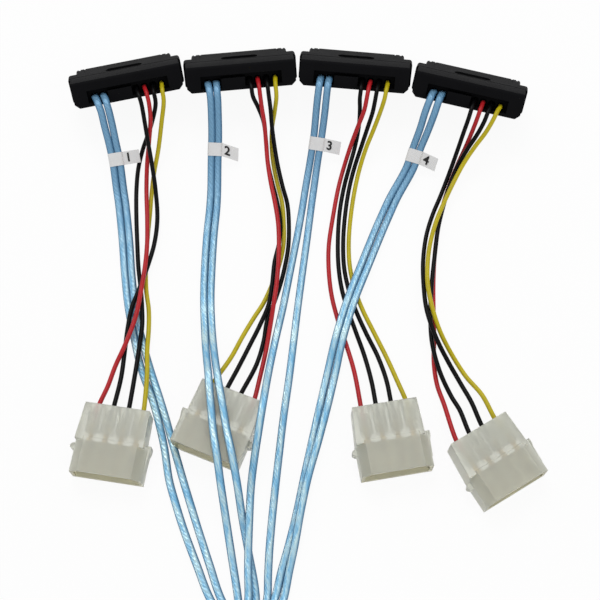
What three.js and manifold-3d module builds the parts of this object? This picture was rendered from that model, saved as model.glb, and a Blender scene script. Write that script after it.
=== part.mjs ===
// Mini SAS breakout cable: one 36-contact plug, eight flat signal cables to four drive receptacles,
// and a four-wire power lead from each receptacle to a 4-pin power plug.
// Millimetres, +Z up. The plug's underside is at the origin and the cables run away along +Y.
import * as THREE from 'three';
import { mergeVertices } from 'three/addons/utils/BufferGeometryUtils.js';
import Module from 'manifold-3d';

const wasm = await Module();
wasm.setup();

// Clearance between pieces that touch, and how far a cutter runs past the face it cuts.
const GAP = 0.3;
const OVER = 1;

// Cords: the flat signal cable and the round power wire.
const SIGNAL_WIDTH = 2.2;
const SIGNAL_THICK = 1.5;
const WIRE_DIAMETER = 1.6;
const CORD_SIDES = 8;
const SIGNAL_STEPS = 30;
const WIRE_STEPS = 22;

// Row of contacts in a drive receptacle: seven for signals, a gap of two places, fifteen for power.
const CONTACT_PITCH = 1.27;
const CONTACT_WIDTH = 0.66;
const CONTACT_LENGTH = 5.4;
const CONTACT_THICK = 0.5;
const CONTACT_ROOT = 1.2;
const SIGNAL_CONTACTS = 7;
const POWER_CONTACTS = 15;
const SKIPPED_PLACES = 2;
const CONTACT_PLACES = SIGNAL_CONTACTS + SKIPPED_PLACES + POWER_CONTACTS;
const CONTACT_ROW = (CONTACT_PLACES - 1) * CONTACT_PITCH;
const FIRST_CONTACT = -CONTACT_ROW / 2;

// Drive receptacle: x across, y along its mating direction with the front at 0, z through its height.
const DRIVE_DEPTH = 20.7;
const DRIVE_HEIGHT = 9.4;
const DRIVE_CORNER = 1;
const DRIVE_TILT = 43;
const SLOT_MARGIN = 2.1;
const SLOT_WIDTH = CONTACT_ROW + 2 * SLOT_MARGIN;
const SLOT_HEIGHT = 4.4;
const SLOT_DEPTH = 8;
const KEY_WIDTH = 1.2;
const KEY_PLACE = FIRST_CONTACT + (SIGNAL_CONTACTS - 1 + (SKIPPED_PLACES + 1) / 2) * CONTACT_PITCH;
const TONGUE_WALL = 1.3;
const TONGUE_WIDTH = SLOT_WIDTH + 2 * TONGUE_WALL;
const TONGUE_REACH = 6.5;
const TONGUE_FOOT = 1.4;
const SLOT_LEVEL = (TONGUE_FOOT + DRIVE_HEIGHT) / 2;
const EAR_WIDTH = 2.9;
const HOUSING_WIDTH = TONGUE_WIDTH + 2 * EAR_WIDTH;
const GUIDE_WIDTH = 1.6;
const GUIDE_HEIGHT = 5;
const GUIDE_DEPTH = 3;
const POCKET_WIDTH = 12.7;
const POCKET_LENGTH = 4;
const POCKET_CORNER = 1.9;
const POCKET_DEPTH = 1.2;
const POCKET_SETBACK = 9;

// Rear cover of a drive receptacle.
const COVER_LENGTH = 8.9;
const COVER_STEP = 0.9;
const COVER_WIDTH = HOUSING_WIDTH - 2 * COVER_STEP;
const RIDGE_RADIUS = 1;
const RECESS_WALL = 5.2;
const RECESS_ROOF = 3.6;
const RECESS_DEPTH = 3;
const GRIP_DEPTH = 0.8;
const GRIP_LENGTH = 3;
const GRIP_HEIGHT = 4;
const GRIP_FOOT = 2;

// Power plug: x across, y from its mouth at the far end to its wires at 0, z through its height.
const PLUG_LENGTH = 23.2;
const PLUG_FRONT_WIDTH = 24;
const PLUG_FRONT_LENGTH = 11.6;
const PLUG_HEIGHT = 10.4;
const PLUG_CHAMFER = 3;
const PLUG_WALL = 1.3;
const PLUG_CAVITY = 10.6;
const PLUG_SHOULDER = 1.3;
const PLUG_STEP = 0.3;
const PLUG_CORNER = 0.8;
const PLUG_AXIS = 5;
const PIN_COUNT = 4;
const PIN_PITCH = 5.08;
const PIN_DIAMETER = 2.1;
const PIN_LENGTH = 9.2;
const PIN_SIDES = 8;

// Wing and knob on the power plug's sides: outlines from the shoulder's corner, outwards and rearwards.
const WING_OUTLINE = [[-1, 0.6], [1.5, 0.6], [1.5, -1.2], [0.9, -3], [0.4, -8], [-0.5, -9]];
const WING_LEVELS = [2.4, 7];
const KNOB_OUTLINE = [[-1, -5], [0.8, -4.4], [1.6, -3.4], [1.6, -2.2], [0.6, -1.4], [-1, -1]];
const KNOB_LEVELS = [3, 7];

// Cable label: a band round the pair with a flag to one side.
const LABEL_LENGTH = 4.8;
const LABEL_THICK = 0.3;
const LABEL_FLAG = 6.6;
const FLAG_THICK = 0.7;
const LABEL_ROOM = 0.45;
const LABEL_SHOULDER = 0.8;
const LABEL_PLACE = 0.125;

// Hank: the bundle of eight cables, two wide and four high, folded twice and held by ties.
const TIE_WIDTH = 3;
const TIE_THICK = 0.8;
const TIE_CORNER = 1.6;
const TIE_HEAD_WIDTH = 6;
const TIE_HEAD_LENGTH = 4.2;
const TIE_HEAD_HEIGHT = 2;
const TIE_PLACES = [28, 80];
const BUNDLE_COLUMNS = 2;
const BUNDLE_LAYERS = 4;
const STRAND_ROOM = 0.2;
const LAYER_ROOM = 0.1;
const BUNDLE_WIDTH = BUNDLE_COLUMNS * (SIGNAL_WIDTH + STRAND_ROOM);
const HANK_LENGTH = 91;
const HANK_FOLD = 8.5;
const HANK_FOOT = TIE_THICK + GAP;
const HANK_TOP = HANK_FOOT + BUNDLE_LAYERS * (SIGNAL_THICK + LAYER_ROOM);
const HANK_HALF = 2 * HANK_FOLD + BUNDLE_WIDTH / 2;

// Mini plug: its origin is under the middle of its body.
const MINI_WIDTH = 22.4;
const MINI_HEIGHT = 9;
const MINI_CORNER = 1.2;
const MINI_FRONT = -11.3;
const MINI_SHOULDER = 3;
const MINI_REAR = 8.1;
const NECK_STEP = 3.7;
const NECK_DROP = 0.6;
const SHELL_WIDTH = 18.2;
const SHELL_HEIGHT = 6.2;
const SHELL_LENGTH = 13;
const SHELL_WALL = 0.6;
const SHELL_CORNER = 0.8;
const SHELL_FOOT = (MINI_HEIGHT - SHELL_HEIGHT) / 2;
const CARD_ROOM = 0.7;
const CARD_THICK = 1;
const CARD_SETBACK = 1.3;

// Spring leaf over the mini plug: it rests on the shell, climbs over the body and ends in a press tab.
const LATCH_WIDTH = 9;
const LATCH_THICK = 0.6;
const LATCH_REACH = 8;
const LATCH_HOOK = 0.9;
const LATCH_HOOK_LENGTH = 1.6;
const LATCH_RAMP = 2.4;
const LATCH_CREST = -4;
const LATCH_CREST_RISE = 0.8;
const LATCH_TAB = 2;
const LATCH_TAB_RISE = 1.8;
const LATCH_END = 7;

// Where each receptacle's front lower edge lies on the table, and how it is turned.
const DRIVES = [
  { x: -82.4, y: 312.1, turn: 13.1 },
  { x: -39.7, y: 316.5, turn: 5.8 },
  { x: 4, y: 316.5, turn: -5.6 },
  { x: 46.8, y: 308.2, turn: -15 },
];

// Where the middle of each power plug's wire end lies, how it is turned, and which ones lie face down.
const POWER_PLUGS = [
  { x: -76.9, y: 182.1, turn: -8.8, flipped: false },
  { x: -39.7, y: 187.9, turn: -21.8, flipped: true },
  { x: 11.1, y: 183.6, turn: 9.6, flipped: false },
  { x: 41.6, y: 175, turn: 30.8, flipped: false },
];

const UP = new THREE.Vector3(0, 0, 1);
const LOOKS = {
  black: { color: 0x1b1b1c, roughness: 0.45, metalness: 0 },
  blue: { color: 0x6ea0c8, roughness: 0.35, metalness: 0 },
  red: { color: 0xb2262c, roughness: 0.4, metalness: 0 },
  wireBlack: { color: 0x141416, roughness: 0.4, metalness: 0 },
  yellow: { color: 0xafa519, roughness: 0.4, metalness: 0 },
  milky: { color: 0xaaaa9e, roughness: 0.4, metalness: 0 },
  paper: { color: 0xe1e1e1, roughness: 0.6, metalness: 0 },
  brass: { color: 0xc8a050, roughness: 0.3, metalness: 1 },
  steel: { color: 0xb8babd, roughness: 0.35, metalness: 1 },
  board: { color: 0x1f5a3a, roughness: 0.5, metalness: 0 },
};

// Centre lines of the cords, from their exit in the receptacle to the hank or to the power plug.
const ROUTES = {
  signal_1_a: [
    [-91.8, 298.4, 14.4], [-91.6, 297.4, 15.4], [-90.7, 295.6, 16.3], [-90.0, 293.8, 16.7],
    [-88.9, 291.0, 15.7], [-87.9, 286.9, 12.7], [-86.7, 282.4, 9.1], [-85.5, 277.0, 5.4],
    [-84.0, 267.0, 1.6], [-82.9, 260.9, 1.0], [-80.7, 246.1, 0.9], [-79.1, 233.2, 0.9],
    [-77.1, 220.6, 0.9], [-74.3, 208.7, 0.9], [-71.3, 197.8, 0.9], [-66.9, 186.7, 0.9],
    [-63.9, 176.9, 0.9], [-62.1, 169.7, 0.9], [-60.2, 159.6, 0.9], [-57.6, 151.3, 0.9],
    [-54.7, 143.1, 0.9], [-50.0, 131.6, 0.9], [-45.7, 121.6, 0.9], [-39.6, 112.0, 0.9],
    [-36.4, 106.0, 1.4], [-35.2, 99.9, 1.9],
  ],
  signal_1_b: [
    [-88.8, 299.1, 14.4], [-88.6, 298.1, 15.4], [-87.8, 296.3, 16.3], [-87.1, 294.4, 16.7],
    [-86.2, 291.7, 15.8], [-85.2, 287.7, 12.8], [-84.1, 282.5, 8.8], [-82.9, 277.1, 5.2],
    [-81.4, 267.1, 1.6], [-80.3, 260.9, 0.9], [-78.1, 246.1, 0.9], [-76.6, 233.2, 0.9],
    [-74.6, 220.6, 0.9], [-71.7, 208.7, 0.9], [-68.5, 198.5, 0.9], [-64.3, 186.7, 0.9],
    [-61.6, 178.6, 0.9], [-59.7, 172.4, 0.9], [-55.6, 159.6, 0.9], [-52.8, 151.3, 0.9],
    [-50.1, 143.4, 0.9], [-45.9, 131.6, 0.9], [-42.2, 121.6, 0.9], [-36.6, 112.0, 0.9],
    [-33.8, 106.0, 1.4], [-32.8, 99.9, 1.9],
  ],
  signal_2_a: [
    [-50.8, 304.1, 14.4], [-50.7, 303.1, 15.4], [-50.3, 301.2, 16.3], [-49.9, 299.2, 16.7],
    [-49.5, 296.7, 16.0], [-49.3, 292.6, 13.1], [-49.3, 285.6, 7.8], [-49.6, 278.1, 3.5],
    [-49.6, 267.0, 1.0], [-49.8, 260.1, 0.8], [-50.5, 248.9, 0.9], [-50.9, 235.1, 0.9],
    [-50.8, 223.6, 0.9], [-50.1, 213.4, 2.2], [-49.0, 203.1, 6.2], [-47.5, 192.9, 11.4],
    [-46.5, 183.7, 11.9], [-45.3, 173.5, 11.9], [-43.8, 164.8, 12.2], [-42.5, 156.0, 9.1],
    [-41.0, 146.3, 2.9], [-39.0, 134.7, 1.0], [-36.7, 121.6, 1.0], [-35.6, 112.0, 2.8],
    [-35.4, 106.0, 3.2], [-35.2, 99.9, 3.5],
  ],
  signal_2_b: [
    [-47.7, 304.4, 14.4], [-47.6, 303.4, 15.4], [-47.4, 301.5, 16.3], [-47.2, 299.5, 16.7],
    [-46.9, 296.7, 15.9], [-46.8, 292.7, 12.9], [-46.8, 285.7, 7.7], [-47.1, 278.1, 3.4],
    [-47.1, 267.0, 1.0], [-47.2, 260.1, 0.8], [-47.9, 248.9, 0.9], [-48.3, 235.1, 0.9],
    [-48.3, 223.6, 0.9], [-47.6, 213.4, 2.2], [-46.3, 203.2, 6.0], [-44.6, 193.1, 10.6],
    [-42.8, 183.8, 11.6], [-40.9, 173.6, 11.6], [-38.9, 164.8, 12.1], [-37.2, 156.1, 9.0],
    [-35.7, 146.5, 1.8], [-33.6, 136.0, 0.9], [-31.0, 121.6, 0.9], [-31.5, 112.0, 2.0],
    [-32.6, 106.0, 3.1], [-32.8, 99.9, 3.5],
  ],
  signal_3_a: [
    [-9.3, 306.6, 14.4], [-9.4, 305.5, 15.4], [-9.7, 303.6, 16.3], [-10.0, 301.6, 16.7],
    [-10.6, 297.4, 14.9], [-11.1, 293.4, 11.8], [-11.9, 286.3, 6.6], [-13.2, 278.5, 2.6],
    [-15.1, 267.0, 0.9], [-16.1, 260.1, 0.8], [-18.1, 247.7, 0.9], [-20.5, 234.4, 0.9],
    [-23.0, 220.6, 0.9], [-25.5, 208.6, 1.2], [-27.6, 195.5, 5.6], [-29.2, 182.5, 11.4],
    [-30.7, 172.6, 10.4], [-31.9, 165.4, 7.0], [-33.0, 157.0, 3.4], [-33.4, 146.2, 3.3],
    [-33.6, 136.4, 2.6], [-33.5, 128.2, 2.7], [-33.3, 121.3, 2.8], [-34.3, 112.0, 4.2],
    [-35.0, 106.0, 4.9], [-35.2, 99.9, 5.1],
  ],
  signal_3_b: [
    [-6.2, 306.3, 14.4], [-6.3, 305.2, 15.4], [-6.6, 303.3, 16.3], [-6.9, 301.3, 16.7],
    [-7.4, 297.3, 15.0], [-7.9, 293.3, 11.9], [-9.0, 286.3, 6.7], [-10.4, 278.5, 2.7],
    [-12.0, 267.0, 0.9], [-12.9, 260.1, 0.8], [-14.4, 247.7, 0.9], [-16.1, 234.4, 0.9],
    [-17.8, 220.6, 0.9], [-19.3, 207.2, 0.9], [-20.8, 194.2, 0.9], [-22.5, 181.4, 0.9],
    [-23.8, 169.7, 0.9], [-25.0, 158.2, 0.9], [-26.1, 146.7, 0.9], [-26.9, 136.0, 0.9],
    [-27.2, 128.4, 0.9], [-27.4, 121.6, 0.9], [-29.6, 112.0, 3.6], [-32.2, 106.0, 4.9],
    [-32.8, 99.9, 5.1],
  ],
  signal_4_a: [
    [32.0, 300.6, 14.4], [31.8, 299.6, 15.4], [30.9, 297.8, 16.3], [30.2, 295.9, 16.7],
    [28.4, 291.6, 14.6], [26.8, 287.1, 10.9], [24.1, 280.8, 6.0], [21.9, 275.0, 3.0],
    [15.7, 263.8, 0.9], [12.6, 256.9, 0.8], [9.7, 249.8, 1.4], [4.1, 235.2, 2.4], [-1.0, 221.4, 2.6],
    [-5.1, 207.3, 2.8], [-7.5, 197.0, 0.9], [-10.1, 185.6, 0.9], [-12.9, 173.1, 0.9],
    [-15.7, 160.2, 0.9], [-18.0, 149.0, 0.9], [-20.6, 138.3, 0.9], [-23.0, 129.7, 0.9],
    [-24.9, 121.5, 1.6], [-28.6, 112.0, 5.2], [-33.4, 106.0, 6.5], [-35.2, 99.9, 6.7],
  ],
  signal_4_b: [
    [35.0, 299.8, 14.4], [34.8, 298.8, 15.4], [34.0, 297.0, 16.3], [33.3, 295.1, 16.7],
    [31.7, 290.8, 14.6], [29.7, 286.3, 10.9], [26.9, 280.6, 6.3], [24.7, 274.9, 3.2],
    [18.5, 263.7, 0.9], [15.5, 256.9, 0.8], [12.6, 249.8, 1.4], [6.9, 235.2, 2.4], [1.6, 221.4, 2.6],
    [-2.5, 207.3, 2.8], [-4.8, 196.9, 1.4], [-7.5, 185.3, 2.0], [-10.8, 172.7, 2.4],
    [-14.4, 159.9, 2.4], [-16.8, 148.6, 2.6], [-18.7, 138.0, 2.2], [-20.5, 129.6, 1.4],
    [-22.1, 121.5, 1.8], [-25.2, 112.0, 5.0], [-30.4, 106.0, 6.4], [-32.8, 99.9, 6.7],
  ],
  power_1_ground_a: [
    [-77.0, 301.9, 14.4], [-76.8, 300.9, 15.4], [-76.1, 299.0, 16.3], [-75.4, 297.1, 16.7],
    [-74.5, 294.3, 15.7], [-73.4, 288.5, 12.9], [-72.4, 282.7, 9.3], [-70.7, 273.9, 7.2],
    [-69.3, 265.3, 5.0], [-68.3, 254.5, 3.2], [-68.9, 245.3, 2.6], [-70.7, 236.7, 2.6],
    [-73.6, 226.7, 2.6], [-75.7, 219.9, 2.6], [-76.7, 211.8, 2.6], [-77.2, 203.7, 2.6],
    [-77.7, 193.9, 3.8], [-78.9, 186.0, 5.0], [-79.4, 182.8, 5.0],
  ],
  power_1_red: [
    [-74.0, 302.6, 14.4], [-73.8, 301.6, 15.4], [-73.2, 299.7, 16.3], [-72.6, 297.8, 16.7],
    [-71.8, 294.7, 15.8], [-71.4, 290.0, 12.5], [-72.2, 283.7, 7.5], [-72.9, 276.3, 4.4],
    [-72.9, 266.5, 2.7], [-72.0, 254.0, 2.6], [-71.3, 242.9, 4.3], [-71.6, 235.2, 4.3],
    [-72.4, 226.7, 4.4], [-73.9, 215.9, 4.4], [-76.8, 205.9, 4.5], [-79.8, 198.1, 4.2],
    [-81.8, 190.8, 4.7], [-83.9, 186.8, 5.0], [-84.4, 183.6, 5.0],
  ],
  power_1_ground_b: [
    [-71.0, 303.3, 14.4], [-70.8, 302.3, 15.4], [-70.5, 300.3, 16.3], [-70.1, 298.4, 16.7],
    [-69.5, 295.3, 14.8], [-71.4, 289.6, 9.5], [-75.0, 282.3, 3.4], [-76.4, 275.5, 2.0],
    [-76.8, 267.4, 1.0], [-76.3, 256.9, 0.9], [-75.4, 246.1, 0.9], [-74.4, 235.9, 0.9],
    [-73.1, 227.4, 0.9], [-72.2, 220.3, 1.8], [-71.7, 213.2, 2.6], [-72.2, 206.6, 2.6],
    [-72.8, 198.4, 3.2], [-73.8, 185.3, 5.0], [-74.3, 182.0, 5.0],
  ],
  power_1_yellow: [
    [-67.8, 304.0, 14.4], [-67.6, 303.0, 15.4], [-67.3, 301.1, 16.3], [-67.0, 299.1, 16.7],
    [-66.5, 295.7, 15.5], [-67.5, 289.6, 11.0], [-69.0, 281.3, 5.2], [-70.5, 273.9, 2.0],
    [-71.1, 266.1, 1.2], [-71.4, 256.9, 0.9], [-71.8, 246.1, 0.9], [-71.8, 236.7, 0.9],
    [-71.2, 227.4, 0.9], [-69.9, 219.7, 1.2], [-69.4, 211.9, 2.3], [-69.5, 204.1, 2.6],
    [-69.0, 194.8, 3.4], [-68.8, 184.5, 5.0], [-69.3, 181.2, 5.0],
  ],
  power_2_ground_a: [
    [-35.7, 305.7, 14.4], [-35.6, 304.6, 15.4], [-35.1, 302.7, 16.3], [-34.7, 300.8, 16.7],
    [-34.2, 297.9, 15.4], [-32.2, 294.9, 12.0], [-30.4, 291.4, 8.1], [-29.5, 285.1, 4.4],
    [-28.8, 277.3, 2.6], [-27.1, 269.0, 2.6], [-25.3, 261.3, 2.6], [-24.1, 253.2, 2.6],
    [-24.4, 245.3, 2.6], [-26.0, 237.5, 2.6], [-26.8, 229.0, 2.6], [-28.0, 221.1, 2.4],
    [-30.9, 213.9, 1.8], [-34.6, 205.9, 1.6], [-38.1, 197.6, 3.4], [-40.7, 192.2, 5.0],
    [-41.9, 189.1, 5.0],
  ],
  power_2_red: [
    [-32.6, 306.0, 14.4], [-32.5, 305.0, 15.4], [-32.2, 303.0, 16.3], [-31.9, 301.0, 16.7],
    [-31.6, 298.7, 16.1], [-30.9, 294.1, 13.3], [-30.0, 289.5, 9.8], [-29.5, 284.1, 6.2],
    [-28.8, 276.0, 5.0], [-27.6, 268.1, 4.3], [-26.1, 260.4, 4.2], [-24.9, 252.4, 4.3],
    [-24.5, 244.5, 4.3], [-24.6, 236.7, 4.3], [-25.2, 228.3, 4.3], [-26.2, 220.4, 4.2],
    [-27.3, 213.2, 2.6], [-28.8, 203.8, 2.2], [-30.5, 194.6, 3.8], [-31.3, 188.4, 5.0],
    [-32.5, 185.3, 5.0],
  ],
  power_2_ground_b: [
    [-29.5, 306.3, 14.4], [-29.4, 305.3, 15.4], [-29.1, 303.3, 16.3], [-28.8, 301.3, 16.7],
    [-28.4, 298.2, 15.6], [-27.8, 294.4, 12.8], [-27.3, 289.4, 8.5], [-26.4, 283.5, 4.3],
    [-25.1, 275.8, 3.0], [-23.3, 267.6, 2.2], [-21.6, 261.2, 1.1], [-21.0, 252.8, 0.9],
    [-21.2, 244.1, 0.9], [-22.4, 236.3, 0.9], [-23.9, 229.7, 0.9], [-26.1, 222.5, 0.9],
    [-28.5, 215.7, 0.9], [-29.5, 208.7, 0.9], [-31.8, 199.4, 2.4], [-36.0, 190.3, 5.0],
    [-37.2, 187.2, 5.0],
  ],
  power_2_yellow: [
    [-26.2, 306.6, 14.4], [-26.1, 305.6, 15.4], [-26.0, 303.6, 16.3], [-25.9, 301.6, 16.7],
    [-25.6, 298.3, 14.7], [-26.2, 294.8, 10.8], [-27.3, 289.9, 6.2], [-27.5, 284.5, 2.4],
    [-26.7, 276.8, 1.2], [-25.2, 269.1, 0.9], [-23.6, 262.1, 0.9], [-22.9, 254.0, 0.9],
    [-22.9, 245.3, 0.9], [-24.3, 237.5, 0.9], [-26.8, 229.7, 0.9], [-29.8, 222.5, 0.9],
    [-33.1, 216.9, 0.9], [-36.6, 210.5, 1.0], [-40.7, 201.4, 3.0], [-45.4, 194.1, 5.0],
    [-46.7, 191.0, 5.0],
  ],
  power_3_ground_a: [
    [5.8, 305.1, 14.4], [5.7, 304.1, 15.4], [5.4, 302.1, 16.3], [5.2, 300.1, 16.7], [4.8, 297.2, 15.1],
    [4.9, 294.2, 11.8], [4.6, 289.4, 7.9], [3.3, 283.3, 4.5], [1.3, 275.9, 3.6], [-0.8, 268.4, 1.4],
    [-2.6, 258.1, 0.9], [-3.4, 246.9, 0.9], [-3.3, 236.3, 0.9], [-2.2, 227.4, 0.9], [-0.1, 219.5, 0.9],
    [2.5, 211.3, 0.9], [5.2, 202.8, 1.0], [7.3, 192.7, 3.2], [8.0, 186.7, 5.0], [8.5, 183.5, 5.0],
  ],
  power_3_red: [
    [8.9, 304.8, 14.4], [8.8, 303.8, 15.4], [8.3, 301.8, 16.3], [7.9, 299.9, 16.7], [7.4, 297.3, 16.3],
    [6.4, 293.0, 13.7], [4.1, 288.2, 9.8], [1.6, 282.8, 5.4], [-0.6, 276.7, 2.1], [-2.8, 268.5, 1.2],
    [-5.0, 256.5, 0.9], [-6.7, 244.5, 0.9], [-6.8, 235.1, 0.9], [-5.9, 225.5, 0.9], [-3.9, 216.5, 0.9],
    [-1.0, 206.9, 0.9], [1.5, 196.5, 2.6], [3.0, 185.9, 5.0], [3.5, 182.6, 5.0],
  ],
  power_3_ground_b: [
    [12.0, 304.5, 14.4], [11.9, 303.5, 15.4], [11.4, 301.5, 16.3], [11.0, 299.6, 16.7],
    [10.4, 296.5, 15.6], [9.5, 292.7, 12.8], [7.7, 288.2, 9.1], [5.5, 282.6, 5.1], [3.2, 276.3, 2.2],
    [1.1, 268.1, 1.2], [-0.6, 257.3, 0.9], [-1.5, 246.1, 0.9], [-1.3, 235.9, 0.9], [0.2, 227.4, 0.9],
    [2.6, 219.5, 0.9], [5.9, 211.3, 0.9], [9.7, 202.8, 1.0], [12.3, 193.4, 3.2], [13.0, 187.6, 5.0],
    [13.6, 184.3, 5.0],
  ],
  power_3_yellow: [
    [15.2, 304.2, 14.4], [15.1, 303.1, 15.4], [14.7, 301.2, 16.3], [14.3, 299.2, 16.7],
    [13.8, 296.7, 15.9], [12.4, 293.0, 13.1], [10.0, 287.7, 9.2], [7.3, 282.1, 5.3], [5.0, 275.6, 1.9],
    [3.1, 267.3, 1.2], [1.4, 256.5, 0.9], [0.5, 246.1, 0.9], [0.7, 236.7, 0.9], [2.2, 228.2, 0.9],
    [4.8, 220.2, 0.9], [8.6, 211.6, 0.9], [12.8, 201.9, 1.6], [16.1, 192.5, 3.8], [18.0, 188.4, 5.0],
    [18.6, 185.2, 5.0],
  ],
  power_4_ground_a: [
    [46.7, 296.6, 14.4], [46.4, 295.7, 15.4], [45.7, 293.8, 16.3], [45.0, 291.9, 16.7],
    [43.9, 288.6, 15.4], [42.1, 284.1, 11.8], [40.0, 278.7, 7.4], [37.6, 272.7, 3.4],
    [34.2, 264.3, 1.4], [31.2, 257.3, 0.9], [28.5, 248.9, 0.9], [26.9, 239.0, 0.9], [26.5, 229.2, 2.2],
    [26.9, 218.9, 4.3], [28.6, 211.8, 4.4], [30.5, 206.4, 4.2], [33.7, 199.9, 3.0], [37.6, 192.1, 2.8],
    [40.6, 185.4, 4.0], [41.9, 179.4, 5.0], [43.6, 176.6, 5.0],
  ],
  power_4_red: [
    [49.7, 295.8, 14.4], [49.4, 294.9, 15.4], [48.7, 293.0, 16.3], [48.0, 291.2, 16.7],
    [46.9, 288.3, 15.3], [45.4, 285.0, 11.7], [43.3, 280.9, 7.3], [40.6, 275.9, 2.8],
    [37.6, 268.6, 1.0], [34.9, 260.5, 0.9], [32.8, 251.6, 0.9], [31.1, 241.0, 0.9], [30.1, 229.4, 0.9],
    [29.7, 219.1, 0.9], [29.5, 209.4, 0.9], [29.0, 200.7, 0.9], [29.7, 192.7, 0.9], [31.6, 185.2, 2.2],
    [33.2, 174.2, 5.0], [34.9, 171.4, 5.0],
  ],
  power_4_ground_b: [
    [52.7, 295.0, 14.4], [52.4, 294.1, 15.4], [51.6, 292.3, 16.3], [50.8, 290.4, 16.7],
    [49.5, 287.3, 15.5], [47.2, 283.7, 12.5], [43.9, 279.7, 8.7], [40.6, 274.9, 4.6],
    [37.5, 267.7, 2.8], [34.9, 259.6, 2.6], [32.6, 250.8, 2.6], [30.9, 240.2, 2.6], [29.3, 228.6, 2.6],
    [28.4, 218.4, 2.6], [28.5, 207.0, 2.6], [30.7, 196.5, 2.6], [34.1, 187.9, 2.6], [36.6, 182.7, 3.6],
    [37.6, 176.8, 5.0], [39.3, 174.0, 5.0],
  ],
  power_4_yellow: [
    [55.9, 294.2, 14.4], [55.6, 293.2, 15.4], [54.6, 291.5, 16.3], [53.7, 289.7, 16.7],
    [52.7, 287.7, 16.3], [50.1, 283.8, 13.7], [46.3, 279.7, 10.1], [42.6, 275.0, 6.7],
    [38.7, 267.9, 5.4], [35.0, 260.2, 4.6], [31.7, 252.4, 4.3], [29.3, 244.1, 3.4], [28.2, 237.2, 3.2],
    [27.8, 228.5, 3.8], [28.8, 219.9, 4.5], [31.2, 211.5, 3.2], [34.8, 204.1, 1.4], [39.5, 195.4, 1.6],
    [44.4, 188.0, 3.6], [46.3, 182.0, 5.0], [48.0, 179.2, 5.0],
  ],
};

function mesh(name, geometry, look) {
  const piece = new THREE.Mesh(geometry, new THREE.MeshStandardMaterial(LOOKS[look]));
  piece.name = name;
  return piece;
}

// Boolean work: a closed three.js geometry becomes a solid and back.
function toSolid(geometry) {
  const bare = geometry.clone();
  bare.deleteAttribute('normal');
  bare.deleteAttribute('uv');
  const merged = mergeVertices(bare, 1e-4);
  return new wasm.Manifold(new wasm.Mesh({
    numProp: 3,
    vertProperties: new Float32Array(merged.attributes.position.array),
    triVerts: new Uint32Array(merged.index.array),
  }));
}

function toGeometry(solid) {
  const data = solid.getMesh();
  const geometry = new THREE.BufferGeometry();
  geometry.setAttribute('position', new THREE.BufferAttribute(data.vertProperties, 3));
  geometry.setIndex(new THREE.BufferAttribute(data.triVerts, 1));
  geometry.computeVertexNormals();
  return geometry;
}

function join(...geometries) {
  return geometries.map(toSolid).reduce((whole, piece) => whole.add(piece));
}

function cut(solid, ...geometries) {
  return geometries.map(toSolid).reduce((rest, piece) => rest.subtract(piece), solid);
}

// A span of the given length round a middle, as [low, high].
function span(length, middle = 0) {
  return [middle - length / 2, middle + length / 2];
}

// A box given by its limits along x, y and z.
function box([x0, x1], [y0, y1], [z0, z1]) {
  const geometry = new THREE.BoxGeometry(x1 - x0, y1 - y0, z1 - z0);
  return geometry.translate((x0 + x1) / 2, (y0 + y1) / 2, (z0 + z1) / 2);
}

function polygon(points) {
  return new THREE.Shape(points.map(([x, y]) => new THREE.Vector2(x, y)));
}

function roundedRectangle([x0, x1], [y0, y1], radius) {
  const shape = new THREE.Shape();
  shape.moveTo(x0 + radius, y0);
  shape.lineTo(x1 - radius, y0);
  shape.absarc(x1 - radius, y0 + radius, radius, -Math.PI / 2, 0);
  shape.lineTo(x1, y1 - radius);
  shape.absarc(x1 - radius, y1 - radius, radius, 0, Math.PI / 2);
  shape.lineTo(x0 + radius, y1);
  shape.absarc(x0 + radius, y1 - radius, radius, Math.PI / 2, Math.PI);
  shape.lineTo(x0, y0 + radius);
  shape.absarc(x0 + radius, y0 + radius, radius, Math.PI, Math.PI * 1.5);
  return shape;
}

// A plan outline raised from z0 to z1.
function raise(shape, [z0, z1], segments = 3) {
  const options = { depth: z1 - z0, bevelEnabled: false, curveSegments: segments };
  return new THREE.ExtrudeGeometry(shape, options).translate(0, 0, z0);
}

// An x-z outline drawn out along y from y0 to y1.
function drawAlongY(shape, [y0, y1], segments = 3) {
  return raise(shape, [-y1, -y0], segments).rotateX(Math.PI / 2);
}

// A y-z outline drawn out along x from x0 to x1.
function drawAlongX(shape, [x0, x1], segments = 3) {
  const geometry = raise(shape, [x0, x1], segments);
  return geometry.applyMatrix4(new THREE.Matrix4().set(0, 0, 1, 0, 1, 0, 0, 0, 0, 1, 0, 0, 0, 0, 0, 1));
}

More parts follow.
